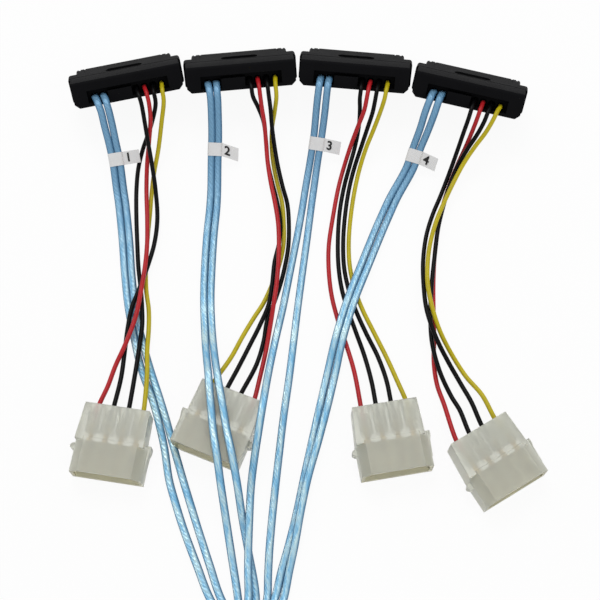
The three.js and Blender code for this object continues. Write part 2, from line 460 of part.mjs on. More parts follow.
// Front half of a drive receptacle: two ears, the tongue between them, and the drive's slot.
function housingGeometry() {
  const back = -DRIVE_DEPTH + COVER_LENGTH + GAP;
  const earShape = roundedRectangle(span(HOUSING_WIDTH), [0, DRIVE_HEIGHT], DRIVE_CORNER);
  const ears = drawAlongY(earShape, [back, -TONGUE_REACH], 2);
  const tongueShape = roundedRectangle(span(TONGUE_WIDTH), [TONGUE_FOOT, DRIVE_HEIGHT], DRIVE_CORNER);
  const tongue = drawAlongY(tongueShape, [-TONGUE_REACH - OVER, 0], 2);
  const slotLevels = span(SLOT_HEIGHT, SLOT_LEVEL);
  const slotReach = [-SLOT_DEPTH, OVER];
  const slotLeft = box([-SLOT_WIDTH / 2, KEY_PLACE - KEY_WIDTH / 2], slotReach, slotLevels);
  const slotRight = box([KEY_PLACE + KEY_WIDTH / 2, SLOT_WIDTH / 2], slotReach, slotLevels);
  const behindKey = box(span(SLOT_WIDTH), [-SLOT_DEPTH, -CONTACT_LENGTH], slotLevels);
  const pocketPlace = span(POCKET_LENGTH, -POCKET_SETBACK);
  const pocketShape = roundedRectangle(span(POCKET_WIDTH), pocketPlace, POCKET_CORNER);
  const pocket = raise(pocketShape, [DRIVE_HEIGHT - POCKET_DEPTH, DRIVE_HEIGHT + OVER]);
  const guideLevels = span(GUIDE_HEIGHT, DRIVE_HEIGHT / 2);
  const guideReach = [-TONGUE_REACH - GUIDE_DEPTH, -TONGUE_REACH + OVER];
  const guideMiddle = (HOUSING_WIDTH + TONGUE_WIDTH) / 4;
  const guides = [-guideMiddle, guideMiddle].map((x) => box(span(GUIDE_WIDTH, x), guideReach, guideLevels));
  return toGeometry(cut(join(ears, tongue), slotLeft, slotRight, behindKey, pocket, ...guides));
}

// Rear half of a drive receptacle: a rounded ridge over a recess that the cords come out of.
function coverGeometry() {
  const rear = -DRIVE_DEPTH;
  const front = rear + COVER_LENGTH;
  const profile = new THREE.Shape();
  profile.moveTo(front, 0);
  profile.lineTo(front, DRIVE_HEIGHT);
  profile.lineTo(rear + RIDGE_RADIUS, DRIVE_HEIGHT);
  profile.absarc(rear + RIDGE_RADIUS, DRIVE_HEIGHT - RIDGE_RADIUS, RIDGE_RADIUS, Math.PI / 2, Math.PI);
  profile.lineTo(rear, 0);
  const block = drawAlongX(profile, span(COVER_WIDTH));
  const recessWidth = COVER_WIDTH - 2 * RECESS_WALL;
  const recessReach = [rear - OVER, rear + RECESS_DEPTH];
  const recess = box(span(recessWidth), recessReach, [-OVER, DRIVE_HEIGHT - RECESS_ROOF]);
  const gripReach = span(GRIP_LENGTH, front - GRIP_LENGTH);
  const gripLevels = [GRIP_FOOT, GRIP_FOOT + GRIP_HEIGHT];
  const grips = [-COVER_WIDTH / 2, COVER_WIDTH / 2].map((edge) => (
    box(span(2 * GRIP_DEPTH, edge), gripReach, gripLevels)));
  return toGeometry(cut(toSolid(block), recess, ...grips));
}

// The row of contacts on the slot's floor: one strip with a tooth for each contact.
function contactsGeometry() {
  const foot = -SLOT_DEPTH + GAP;
  const root = foot + CONTACT_ROOT;
  const tip = foot + CONTACT_LENGTH;
  const end = CONTACT_ROW / 2 + CONTACT_WIDTH;
  const points = [[end, foot], [end, root]];
  for (let i = CONTACT_PLACES - 1; i >= 0; i -= 1) {
    const x = FIRST_CONTACT + i * CONTACT_PITCH;
    const skipped = i >= SIGNAL_CONTACTS && i < SIGNAL_CONTACTS + SKIPPED_PLACES;
    if (!skipped) {
      points.push([x + CONTACT_WIDTH / 2, root], [x + CONTACT_WIDTH / 2, tip]);
      points.push([x - CONTACT_WIDTH / 2, tip], [x - CONTACT_WIDTH / 2, root]);
    }
  }
  points.push([-end, root], [-end, foot]);
  const level = SLOT_LEVEL - SLOT_HEIGHT / 2 + GAP;
  return raise(polygon(points.reverse()), [level, level + CONTACT_THICK]);
}

// Chamfered outline of the power plug's front, shrunk by a wall.
function plugOutline(wall) {
  const half = PLUG_FRONT_WIDTH / 2 - wall;
  const flat = PLUG_FRONT_WIDTH / 2 - PLUG_CHAMFER - wall / 2;
  const foot = wall;
  const top = PLUG_HEIGHT - wall;
  const side = PLUG_HEIGHT - PLUG_CHAMFER - wall / 2;
  return polygon([[-half, foot], [half, foot], [half, side], [flat, top], [-flat, top], [-half, side]]);
}

// Power plug: a block for the wires, an open chamfered shroud, four pins, a wing and a knob.
function powerPlugGeometry() {
  const middle = -PLUG_LENGTH + PLUG_FRONT_LENGTH;
  const rearSides = span(PLUG_FRONT_WIDTH - 2 * PLUG_SHOULDER);
  const rearShape = roundedRectangle(rearSides, [PLUG_STEP, PLUG_HEIGHT - PLUG_STEP], PLUG_CORNER);
  const rear = drawAlongY(rearShape, [middle - OVER, 0], 2);
  const shroud = drawAlongY(plugOutline(0), [-PLUG_LENGTH, middle]);
  const floor = -PLUG_LENGTH + PLUG_CAVITY;
  const cavity = drawAlongY(plugOutline(PLUG_WALL), [-PLUG_LENGTH - OVER, floor]);
  const side = PLUG_FRONT_WIDTH / 2;
  const wing = raise(polygon(WING_OUTLINE.map(([out, back]) => [side + out, middle + back])), WING_LEVELS);
  const knob = raise(polygon(KNOB_OUTLINE.map(([out, back]) => [-side - out, middle + back])), KNOB_LEVELS);
  const shell = cut(join(rear, shroud, wing, knob), cavity);
  const pinReach = PIN_LENGTH + OVER;
  const pins = Array.from({ length: PIN_COUNT }, (_, i) => {
    const pin = new THREE.CylinderGeometry(PIN_DIAMETER / 2, PIN_DIAMETER / 2, pinReach, PIN_SIDES);
    return pin.translate((i - (PIN_COUNT - 1) / 2) * PIN_PITCH, floor + OVER - pinReach / 2, PLUG_AXIS);
  });
  return toGeometry(pins.map(toSolid).reduce((whole, pin) => whole.add(pin), shell));
}

// A route whose section stays level: its width axis is always horizontal.
class LevelRoute extends THREE.CatmullRomCurve3 {
  computeFrenetFrames(segments) {
    const frames = { tangents: [], normals: [], binormals: [] };
    for (let i = 0; i <= segments; i += 1) {
      const tangent = this.getTangentAt(i / segments);
      const across = new THREE.Vector3().crossVectors(UP, tangent).normalize();
      frames.tangents.push(tangent);
      frames.normals.push(across);
      frames.binormals.push(new THREE.Vector3().crossVectors(tangent, across));
    }
    return frames;
  }
}

function routeOf(name) {
  return new LevelRoute(ROUTES[name].map(([x, y, z]) => new THREE.Vector3(x, y, z)), false, 'centripetal');
}

// A cord along its route, with an oval section of the given width and thickness.
function cordGeometry(name, width, thick, steps) {
  const rim = [];
  for (let i = 0; i < CORD_SIDES; i += 1) {
    const angle = ((i + 0.5) / CORD_SIDES) * Math.PI * 2;
    rim.push(new THREE.Vector2((Math.cos(angle) * width) / 2, (Math.sin(angle) * thick) / 2));
  }
  return new THREE.ExtrudeGeometry(new THREE.Shape(rim), { steps, extrudePath: routeOf(name) });
}

// Outline of a label's band, grown by a thickness, starting at its lower right.
function labelRing(half, rise, grow) {
  const shoulder = half - LABEL_SHOULDER;
  const edge = FLAG_THICK / 2;
  return [
    [shoulder, -rise - grow], [half + grow, -edge], [half + grow, edge], [shoulder, rise + grow],
    [-shoulder, rise + grow], [-half - grow, edge], [-half - grow, -edge], [-shoulder, -rise - grow],
  ];
}

// A label round the pair of signal cables: an oval band whose ends meet in a flag.
function labelMesh(index) {
  const first = routeOf(`signal_${index}_a`);
  const second = routeOf(`signal_${index}_b`);
  const start = first.getPointAt(LABEL_PLACE);
  const end = second.getPointAt(LABEL_PLACE);
  const along = first.getTangentAt(LABEL_PLACE).add(second.getTangentAt(LABEL_PLACE)).normalize().negate();
  const side = end.clone().sub(start);
  const half = (side.length() + SIGNAL_WIDTH) / 2 + LABEL_ROOM;
  const rise = SIGNAL_THICK / 2 + LABEL_ROOM;
  const above = new THREE.Vector3().crossVectors(side, along).normalize();
  const across = new THREE.Vector3().crossVectors(along, above);
  const flag = [[half + LABEL_FLAG, -FLAG_THICK / 2], [half + LABEL_FLAG, FLAG_THICK / 2]];
  const rim = labelRing(half, rise, LABEL_THICK);
  rim.splice(2, 0, ...flag);
  const shape = polygon(rim);
  shape.holes.push(polygon(labelRing(half, rise, 0)));
  const piece = mesh(`port_${index}_label`, drawAlongY(shape, span(LABEL_LENGTH)), 'paper');
  piece.quaternion.setFromRotationMatrix(new THREE.Matrix4().makeBasis(across, along, above));
  piece.position.copy(start.add(end).multiplyScalar(0.5));
  return piece;
}

// One receptacle of three pieces, turned on the table and tipped onto its front lower edge.
function drivePort(index, { x, y, turn }) {
  const tipped = new THREE.Group();
  tipped.rotation.x = THREE.MathUtils.degToRad(-DRIVE_TILT);
  tipped.add(mesh(`port_${index}_housing`, housingGeometry(), 'black'));
  tipped.add(mesh(`port_${index}_cover`, coverGeometry(), 'black'));
  tipped.add(mesh(`port_${index}_contacts`, contactsGeometry(), 'brass'));
  const placed = new THREE.Group();
  placed.rotation.z = THREE.MathUtils.degToRad(turn);
  placed.position.set(x, y, 0);
  placed.add(tipped);
  return placed;
}

function powerPlug(index, { x, y, turn, flipped }) {
  const piece = mesh(`power_plug_${index}`, powerPlugGeometry(), 'milky');
  const placed = new THREE.Group();
  if (flipped) {
    piece.rotation.y = Math.PI;
    piece.position.z = PLUG_HEIGHT;
  }
  placed.rotation.z = THREE.MathUtils.degToRad(turn);
  placed.position.set(x, y, 0);
  placed.add(piece);
  return placed;
}

// The folded bundle: entry run, middle run and exit run side by side, with round ends at the folds.
function hankMesh() {
  const radius = HANK_FOLD + BUNDLE_WIDTH / 2;
  const near = MINI_REAR + GAP;
  const far = near + HANK_LENGTH;
  const middle = -2 * HANK_FOLD;
  const right = middle + HANK_HALF;
  const left = middle - HANK_HALF;
  const shape = new THREE.Shape();
  shape.moveTo(right, near);
  shape.lineTo(right, far - radius);
  shape.absarc(right - radius, far - radius, radius, 0, Math.PI / 2);
  shape.lineTo(left, far);
  shape.lineTo(left, near + radius);
  shape.absarc(left + radius, near + radius, radius, Math.PI, Math.PI * 1.5);
  return mesh('hank', raise(shape, [HANK_FOOT, HANK_TOP], 8), 'blue');
}

// A tie is a flat band round the hank with a small head on top.
function tieMesh(name, place) {
  const half = HANK_HALF + GAP;
  const outside = half + TIE_THICK;
  const top = HANK_TOP + GAP;
  const bandShape = roundedRectangle([-outside, outside], [0, top + TIE_THICK], TIE_CORNER);
  bandShape.holes.push(roundedRectangle([-half, half], [TIE_THICK, top], GAP));
  const band = drawAlongY(bandShape, span(TIE_WIDTH), 2);
  const headLevels = [top + TIE_THICK / 2, top + TIE_THICK + TIE_HEAD_HEIGHT];
  const head = box(span(TIE_HEAD_WIDTH), span(TIE_HEAD_LENGTH), headLevels);
  const piece = mesh(name, toGeometry(join(band, head)), 'black');
  piece.position.set(-2 * HANK_FOLD, place, 0);
  return piece;
}

// Moulded body of the mini plug, with a narrower neck where the cables enter.
function miniBodyGeometry() {
  const bodyShape = roundedRectangle(span(MINI_WIDTH), [0, MINI_HEIGHT], MINI_CORNER);
  const body = drawAlongY(bodyShape, [MINI_FRONT, MINI_SHOULDER]);
  const neckSides = span(MINI_WIDTH - 2 * NECK_STEP);
  const neckShape = roundedRectangle(neckSides, [0, MINI_HEIGHT - NECK_DROP], MINI_CORNER);
  return toGeometry(join(body, drawAlongY(neckShape, [MINI_SHOULDER - OVER, MINI_REAR])));
}

// Side view of the spring leaf: a hooked tip on the shell, a ramp, a crest and a press tab.
function latchGeometry() {
  const tip = MINI_FRONT - LATCH_REACH;
  const ramp = MINI_FRONT - LATCH_RAMP;
  const rest = SHELL_FOOT + SHELL_HEIGHT + GAP;
  const clear = MINI_HEIGHT + GAP;
  const crest = clear + LATCH_CREST_RISE;
  const tab = clear + LATCH_TAB_RISE;
  const under = [
    [tip, rest], [ramp, rest], [MINI_FRONT - LATCH_THICK, clear], [LATCH_CREST, crest],
    [LATCH_TAB, tab], [LATCH_END, tab],
  ];
  const over = [
    [LATCH_END, tab + LATCH_THICK], [LATCH_TAB, tab + LATCH_THICK], [LATCH_CREST, crest + LATCH_THICK],
    [MINI_FRONT - LATCH_THICK, clear + LATCH_THICK], [ramp, rest + LATCH_THICK],
    [tip + 2 * LATCH_HOOK_LENGTH, rest + LATCH_THICK],
    [tip + LATCH_HOOK_LENGTH, rest + LATCH_THICK + LATCH_HOOK], [tip, rest + LATCH_THICK],
  ];
  return drawAlongX(polygon([...under, ...over]), span(LATCH_WIDTH));
}

// The mini plug: moulded body, stamped shell, contact board and spring leaf.
function miniPlug() {
  const group = new THREE.Group();
  group.add(mesh('mini_plug_body', miniBodyGeometry(), 'black'));

  const back = MINI_FRONT - GAP;
  const mouth = back - SHELL_LENGTH;
  const shellTop = SHELL_FOOT + SHELL_HEIGHT;
  const shellShape = roundedRectangle(span(SHELL_WIDTH), [SHELL_FOOT, shellTop], SHELL_CORNER);
  const shell = drawAlongY(shellShape, [mouth, back], 2);
  const insideWidth = SHELL_WIDTH - 2 * SHELL_WALL;
  const insideLevels = [SHELL_FOOT + SHELL_WALL, shellTop - SHELL_WALL];
  const inside = box(span(insideWidth), [mouth - OVER, back - SHELL_WALL], insideLevels);
  group.add(mesh('mini_plug_shell', toGeometry(cut(toSolid(shell), inside)), 'steel'));

  const cardReach = [mouth + CARD_SETBACK, back - SHELL_WALL - GAP];
  const cardLevels = span(CARD_THICK, SHELL_FOOT + SHELL_HEIGHT / 2);
  group.add(mesh('mini_plug_card', box(span(insideWidth - 2 * CARD_ROOM), cardReach, cardLevels), 'board'));
  group.add(mesh('mini_plug_latch', latchGeometry(), 'steel'));
  return group;
}

const breakout = new THREE.Group();
breakout.add(miniPlug());
breakout.add(hankMesh());
TIE_PLACES.forEach((place, i) => breakout.add(tieMesh(`hank_tie_${i + 1}`, place)));
DRIVES.forEach((place, i) => breakout.add(drivePort(i + 1, place)));
POWER_PLUGS.forEach((place, i) => breakout.add(powerPlug(i + 1, place)));
for (let port = 1; port <= DRIVES.length; port += 1) {
  breakout.add(labelMesh(port));
}
for (const name of Object.keys(ROUTES)) {
  const flat = name.startsWith('signal');
  const wireLook = name.includes('ground') ? 'wireBlack' : name.split('_')[2];
  const geometry = flat
    ? cordGeometry(name, SIGNAL_WIDTH, SIGNAL_THICK, SIGNAL_STEPS)
    : cordGeometry(name, WIRE_DIAMETER, WIRE_DIAMETER, WIRE_STEPS);
  breakout.add(mesh(name, geometry, flat ? 'blue' : wireLook));
}

export default breakout;
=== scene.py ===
import math

import bmesh
import bpy
from mathutils import Matrix, Vector


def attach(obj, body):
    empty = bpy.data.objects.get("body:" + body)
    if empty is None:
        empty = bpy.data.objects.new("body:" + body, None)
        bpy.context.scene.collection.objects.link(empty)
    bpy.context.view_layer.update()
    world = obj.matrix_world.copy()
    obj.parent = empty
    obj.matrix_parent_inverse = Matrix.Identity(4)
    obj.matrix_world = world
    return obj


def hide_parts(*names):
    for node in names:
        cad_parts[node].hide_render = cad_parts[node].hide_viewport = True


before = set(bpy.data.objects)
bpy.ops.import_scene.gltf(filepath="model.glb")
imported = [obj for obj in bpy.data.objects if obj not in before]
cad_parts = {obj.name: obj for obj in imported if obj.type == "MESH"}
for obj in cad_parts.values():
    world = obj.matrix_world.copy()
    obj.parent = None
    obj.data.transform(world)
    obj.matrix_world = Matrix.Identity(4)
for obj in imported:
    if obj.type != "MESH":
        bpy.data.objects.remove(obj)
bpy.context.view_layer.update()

MM = 0.001
UP = Vector((0, 0, 1))
BODY = "root"

# Camera: above the table, looking at the middle of the fan of cables.
TARGET = Vector((-17, 224, 0)) * MM
CAMERA_ELEVATION = 68
CAMERA_DISTANCE = 0.398
FOCAL_PIXELS = 1130
IMAGE_PIXELS = 600
SENSOR = 36


def object_of(name, data):
    """A new object in the scene with this mesh, curve, camera or lamp."""
    made = bpy.data.objects.new(name, data)
    bpy.context.scene.collection.objects.link(made)
    return made


def make_camera():
    data = bpy.data.cameras.new("view")
    data.sensor_width = SENSOR
    data.lens = FOCAL_PIXELS / IMAGE_PIXELS * SENSOR
    data.clip_start = 0.01
    data.clip_end = 20
    camera = object_of("view", data)
    tilt = math.radians(CAMERA_ELEVATION)
    camera.location = TARGET + CAMERA_DISTANCE * Vector((0, -math.cos(tilt), math.sin(tilt)))
    camera.rotation_euler = (math.pi / 2 - tilt, 0, 0)
    bpy.context.scene.camera = camera


make_camera()

# Sizes shared by the pieces, in millimetres.
SIGNAL_WIDTH = 2.2
SIGNAL_THICK = 1.5
WIRE_DIAMETER = 1.6
DRIVE_DEPTH = 20.7
DRIVE_HEIGHT = 9.4
DRIVE_TILT = 43
CONTACT_PITCH = 1.27
FIRST_CONTACT = -14.605
PLUG_LENGTH = 23.2
PLUG_HEIGHT = 10.4
PIN_PITCH = 5.08
PLUG_AXIS = 5
CABLE_EXITS = {
    "signal_a": -12.3,
    "signal_b": -9.2,
    "ground_a": 2.9,
    "red": 6.0,
    "ground_b": 9.1,
    "yellow": 12.4,
}
EXIT_LEVEL = 2.9
HANK_COLUMN = 1.2
HANK_FOLD = 8.5
HANK_LAYERS = {1: 1.9, 2: 3.5, 3: 5.1, 4: 6.7}
NEAR_FOLD = (-25.5, 19.3)
FAR_FOLD = (-8.5, 88.5)
BODY_REAR = 8.1
INTO_COVER = 1.0
INTO_PLUG = 5.0
LINE_STEP = 1.2
HANK_STEP = 3
UV_REACH = 10

# Rounding of moulded and stamped edges.
WELD_DISTANCE = 0.001
FLAT_ANGLE = 1
SHARP_ANGLE = 40
ROUNDING_STEPS = 2

# Front lower edge of each receptacle on the table, and its turn in degrees.
DRIVES = {1: (-82.4, 312.1, 13.1), 2: (-39.7, 316.5, 5.8), 3: (4, 316.5, -5.6), 4: (46.8, 308.2, -15)}

# Middle of each power plug's wire end, its turn, and whether it lies face down.
POWER_PLUGS = {
    1: (-76.9, 182.1, -8.8, False),
    2: (-39.7, 187.9, -21.8, True),
    3: (11.1, 183.6, 9.6, False),
    4: (41.6, 175, 30.8, False),
}

# Centre lines of the cords, the same points as the solids'.
ROUTES = {
    "signal_1_a": [
        [-91.8, 298.4, 14.4], [-91.6, 297.4, 15.4], [-90.7, 295.6, 16.3], [-90.0, 293.8, 16.7],
        [-88.9, 291.0, 15.7], [-87.9, 286.9, 12.7], [-86.7, 282.4, 9.1], [-85.5, 277.0, 5.4],
        [-84.0, 267.0, 1.6], [-82.9, 260.9, 1.0], [-80.7, 246.1, 0.9], [-79.1, 233.2, 0.9],
        [-77.1, 220.6, 0.9], [-74.3, 208.7, 0.9], [-71.3, 197.8, 0.9], [-66.9, 186.7, 0.9],
        [-63.9, 176.9, 0.9], [-62.1, 169.7, 0.9], [-60.2, 159.6, 0.9], [-57.6, 151.3, 0.9],
        [-54.7, 143.1, 0.9], [-50.0, 131.6, 0.9], [-45.7, 121.6, 0.9], [-39.6, 112.0, 0.9],
        [-36.4, 106.0, 1.4], [-35.2, 99.9, 1.9],
    ],
    "signal_1_b": [
        [-88.8, 299.1, 14.4], [-88.6, 298.1, 15.4], [-87.8, 296.3, 16.3], [-87.1, 294.4, 16.7],
        [-86.2, 291.7, 15.8], [-85.2, 287.7, 12.8], [-84.1, 282.5, 8.8], [-82.9, 277.1, 5.2],
        [-81.4, 267.1, 1.6], [-80.3, 260.9, 0.9], [-78.1, 246.1, 0.9], [-76.6, 233.2, 0.9],
        [-74.6, 220.6, 0.9], [-71.7, 208.7, 0.9], [-68.5, 198.5, 0.9], [-64.3, 186.7, 0.9],
        [-61.6, 178.6, 0.9], [-59.7, 172.4, 0.9], [-55.6, 159.6, 0.9], [-52.8, 151.3, 0.9],
        [-50.1, 143.4, 0.9], [-45.9, 131.6, 0.9], [-42.2, 121.6, 0.9], [-36.6, 112.0, 0.9],
        [-33.8, 106.0, 1.4], [-32.8, 99.9, 1.9],
    ],
    "signal_2_a": [
        [-50.8, 304.1, 14.4], [-50.7, 303.1, 15.4], [-50.3, 301.2, 16.3], [-49.9, 299.2, 16.7],
        [-49.5, 296.7, 16.0], [-49.3, 292.6, 13.1], [-49.3, 285.6, 7.8], [-49.6, 278.1, 3.5],
        [-49.6, 267.0, 1.0], [-49.8, 260.1, 0.8], [-50.5, 248.9, 0.9], [-50.9, 235.1, 0.9],
        [-50.8, 223.6, 0.9], [-50.1, 213.4, 2.2], [-49.0, 203.1, 6.2], [-47.5, 192.9, 11.4],
        [-46.5, 183.7, 11.9], [-45.3, 173.5, 11.9], [-43.8, 164.8, 12.2], [-42.5, 156.0, 9.1],
        [-41.0, 146.3, 2.9], [-39.0, 134.7, 1.0], [-36.7, 121.6, 1.0], [-35.6, 112.0, 2.8],
        [-35.4, 106.0, 3.2], [-35.2, 99.9, 3.5],
    ],
    "signal_2_b": [
        [-47.7, 304.4, 14.4], [-47.6, 303.4, 15.4], [-47.4, 301.5, 16.3], [-47.2, 299.5, 16.7],
        [-46.9, 296.7, 15.9], [-46.8, 292.7, 12.9], [-46.8, 285.7, 7.7], [-47.1, 278.1, 3.4],
        [-47.1, 267.0, 1.0], [-47.2, 260.1, 0.8], [-47.9, 248.9, 0.9], [-48.3, 235.1, 0.9],
        [-48.3, 223.6, 0.9], [-47.6, 213.4, 2.2], [-46.3, 203.2, 6.0], [-44.6, 193.1, 10.6],
        [-42.8, 183.8, 11.6], [-40.9, 173.6, 11.6], [-38.9, 164.8, 12.1], [-37.2, 156.1, 9.0],
        [-35.7, 146.5, 1.8], [-33.6, 136.0, 0.9], [-31.0, 121.6, 0.9], [-31.5, 112.0, 2.0],
        [-32.6, 106.0, 3.1], [-32.8, 99.9, 3.5],
    ],
    "signal_3_a": [
        [-9.3, 306.6, 14.4], [-9.4, 305.5, 15.4], [-9.7, 303.6, 16.3], [-10.0, 301.6, 16.7],
        [-10.6, 297.4, 14.9], [-11.1, 293.4, 11.8], [-11.9, 286.3, 6.6], [-13.2, 278.5, 2.6],
        [-15.1, 267.0, 0.9], [-16.1, 260.1, 0.8], [-18.1, 247.7, 0.9], [-20.5, 234.4, 0.9],
        [-23.0, 220.6, 0.9], [-25.5, 208.6, 1.2], [-27.6, 195.5, 5.6], [-29.2, 182.5, 11.4],
        [-30.7, 172.6, 10.4], [-31.9, 165.4, 7.0], [-33.0, 157.0, 3.4], [-33.4, 146.2, 3.3],
        [-33.6, 136.4, 2.6], [-33.5, 128.2, 2.7], [-33.3, 121.3, 2.8], [-34.3, 112.0, 4.2],
        [-35.0, 106.0, 4.9], [-35.2, 99.9, 5.1],
    ],
    "signal_3_b": [
        [-6.2, 306.3, 14.4], [-6.3, 305.2, 15.4], [-6.6, 303.3, 16.3], [-6.9, 301.3, 16.7],
        [-7.4, 297.3, 15.0], [-7.9, 293.3, 11.9], [-9.0, 286.3, 6.7], [-10.4, 278.5, 2.7],
        [-12.0, 267.0, 0.9], [-12.9, 260.1, 0.8], [-14.4, 247.7, 0.9], [-16.1, 234.4, 0.9],
        [-17.8, 220.6, 0.9], [-19.3, 207.2, 0.9], [-20.8, 194.2, 0.9], [-22.5, 181.4, 0.9],
        [-23.8, 169.7, 0.9], [-25.0, 158.2, 0.9], [-26.1, 146.7, 0.9], [-26.9, 136.0, 0.9],
        [-27.2, 128.4, 0.9], [-27.4, 121.6, 0.9], [-29.6, 112.0, 3.6], [-32.2, 106.0, 4.9],
        [-32.8, 99.9, 5.1],
    ],
    "signal_4_a": [
        [32.0, 300.6, 14.4], [31.8, 299.6, 15.4], [30.9, 297.8, 16.3], [30.2, 295.9, 16.7],
        [28.4, 291.6, 14.6], [26.8, 287.1, 10.9], [24.1, 280.8, 6.0], [21.9, 275.0, 3.0],
        [15.7, 263.8, 0.9], [12.6, 256.9, 0.8], [9.7, 249.8, 1.4], [4.1, 235.2, 2.4], [-1.0, 221.4, 2.6],
        [-5.1, 207.3, 2.8], [-7.5, 197.0, 0.9], [-10.1, 185.6, 0.9], [-12.9, 173.1, 0.9],
        [-15.7, 160.2, 0.9], [-18.0, 149.0, 0.9], [-20.6, 138.3, 0.9], [-23.0, 129.7, 0.9],
        [-24.9, 121.5, 1.6], [-28.6, 112.0, 5.2], [-33.4, 106.0, 6.5], [-35.2, 99.9, 6.7],
    ],
    "signal_4_b": [
        [35.0, 299.8, 14.4], [34.8, 298.8, 15.4], [34.0, 297.0, 16.3], [33.3, 295.1, 16.7],
        [31.7, 290.8, 14.6], [29.7, 286.3, 10.9], [26.9, 280.6, 6.3], [24.7, 274.9, 3.2],
        [18.5, 263.7, 0.9], [15.5, 256.9, 0.8], [12.6, 249.8, 1.4], [6.9, 235.2, 2.4], [1.6, 221.4, 2.6],
        [-2.5, 207.3, 2.8], [-4.8, 196.9, 1.4], [-7.5, 185.3, 2.0], [-10.8, 172.7, 2.4],
        [-14.4, 159.9, 2.4], [-16.8, 148.6, 2.6], [-18.7, 138.0, 2.2], [-20.5, 129.6, 1.4],
        [-22.1, 121.5, 1.8], [-25.2, 112.0, 5.0], [-30.4, 106.0, 6.4], [-32.8, 99.9, 6.7],
    ],
    "power_1_ground_a": [
        [-77.0, 301.9, 14.4], [-76.8, 300.9, 15.4], [-76.1, 299.0, 16.3], [-75.4, 297.1, 16.7],
        [-74.5, 294.3, 15.7], [-73.4, 288.5, 12.9], [-72.4, 282.7, 9.3], [-70.7, 273.9, 7.2],
        [-69.3, 265.3, 5.0], [-68.3, 254.5, 3.2], [-68.9, 245.3, 2.6], [-70.7, 236.7, 2.6],
        [-73.6, 226.7, 2.6], [-75.7, 219.9, 2.6], [-76.7, 211.8, 2.6], [-77.2, 203.7, 2.6],
        [-77.7, 193.9, 3.8], [-78.9, 186.0, 5.0], [-79.4, 182.8, 5.0],
    ],
    "power_1_red": [
        [-74.0, 302.6, 14.4], [-73.8, 301.6, 15.4], [-73.2, 299.7, 16.3], [-72.6, 297.8, 16.7],
        [-71.8, 294.7, 15.8], [-71.4, 290.0, 12.5], [-72.2, 283.7, 7.5], [-72.9, 276.3, 4.4],
        [-72.9, 266.5, 2.7], [-72.0, 254.0, 2.6], [-71.3, 242.9, 4.3], [-71.6, 235.2, 4.3],
        [-72.4, 226.7, 4.4], [-73.9, 215.9, 4.4], [-76.8, 205.9, 4.5], [-79.8, 198.1, 4.2],
        [-81.8, 190.8, 4.7], [-83.9, 186.8, 5.0], [-84.4, 183.6, 5.0],
    ],
    "power_1_ground_b": [
        [-71.0, 303.3, 14.4], [-70.8, 302.3, 15.4], [-70.5, 300.3, 16.3], [-70.1, 298.4, 16.7],
        [-69.5, 295.3, 14.8], [-71.4, 289.6, 9.5], [-75.0, 282.3, 3.4], [-76.4, 275.5, 2.0],
        [-76.8, 267.4, 1.0], [-76.3, 256.9, 0.9], [-75.4, 246.1, 0.9], [-74.4, 235.9, 0.9],
        [-73.1, 227.4, 0.9], [-72.2, 220.3, 1.8], [-71.7, 213.2, 2.6], [-72.2, 206.6, 2.6],
        [-72.8, 198.4, 3.2], [-73.8, 185.3, 5.0], [-74.3, 182.0, 5.0],
    ],
    "power_1_yellow": [
        [-67.8, 304.0, 14.4], [-67.6, 303.0, 15.4], [-67.3, 301.1, 16.3], [-67.0, 299.1, 16.7],
        [-66.5, 295.7, 15.5], [-67.5, 289.6, 11.0], [-69.0, 281.3, 5.2], [-70.5, 273.9, 2.0],
        [-71.1, 266.1, 1.2], [-71.4, 256.9, 0.9], [-71.8, 246.1, 0.9], [-71.8, 236.7, 0.9],
        [-71.2, 227.4, 0.9], [-69.9, 219.7, 1.2], [-69.4, 211.9, 2.3], [-69.5, 204.1, 2.6],
        [-69.0, 194.8, 3.4], [-68.8, 184.5, 5.0], [-69.3, 181.2, 5.0],
    ],
    "power_2_ground_a": [
        [-35.7, 305.7, 14.4], [-35.6, 304.6, 15.4], [-35.1, 302.7, 16.3], [-34.7, 300.8, 16.7],
        [-34.2, 297.9, 15.4], [-32.2, 294.9, 12.0], [-30.4, 291.4, 8.1], [-29.5, 285.1, 4.4],
        [-28.8, 277.3, 2.6], [-27.1, 269.0, 2.6], [-25.3, 261.3, 2.6], [-24.1, 253.2, 2.6],
        [-24.4, 245.3, 2.6], [-26.0, 237.5, 2.6], [-26.8, 229.0, 2.6], [-28.0, 221.1, 2.4],
        [-30.9, 213.9, 1.8], [-34.6, 205.9, 1.6], [-38.1, 197.6, 3.4], [-40.7, 192.2, 5.0],
        [-41.9, 189.1, 5.0],
    ],
    "power_2_red": [
        [-32.6, 306.0, 14.4], [-32.5, 305.0, 15.4], [-32.2, 303.0, 16.3], [-31.9, 301.0, 16.7],
        [-31.6, 298.7, 16.1], [-30.9, 294.1, 13.3], [-30.0, 289.5, 9.8], [-29.5, 284.1, 6.2],
        [-28.8, 276.0, 5.0], [-27.6, 268.1, 4.3], [-26.1, 260.4, 4.2], [-24.9, 252.4, 4.3],
        [-24.5, 244.5, 4.3], [-24.6, 236.7, 4.3], [-25.2, 228.3, 4.3], [-26.2, 220.4, 4.2],
        [-27.3, 213.2, 2.6], [-28.8, 203.8, 2.2], [-30.5, 194.6, 3.8], [-31.3, 188.4, 5.0],
        [-32.5, 185.3, 5.0],
    ],
    "power_2_ground_b": [
        [-29.5, 306.3, 14.4], [-29.4, 305.3, 15.4], [-29.1, 303.3, 16.3], [-28.8, 301.3, 16.7],
        [-28.4, 298.2, 15.6], [-27.8, 294.4, 12.8], [-27.3, 289.4, 8.5], [-26.4, 283.5, 4.3],
        [-25.1, 275.8, 3.0], [-23.3, 267.6, 2.2], [-21.6, 261.2, 1.1], [-21.0, 252.8, 0.9],
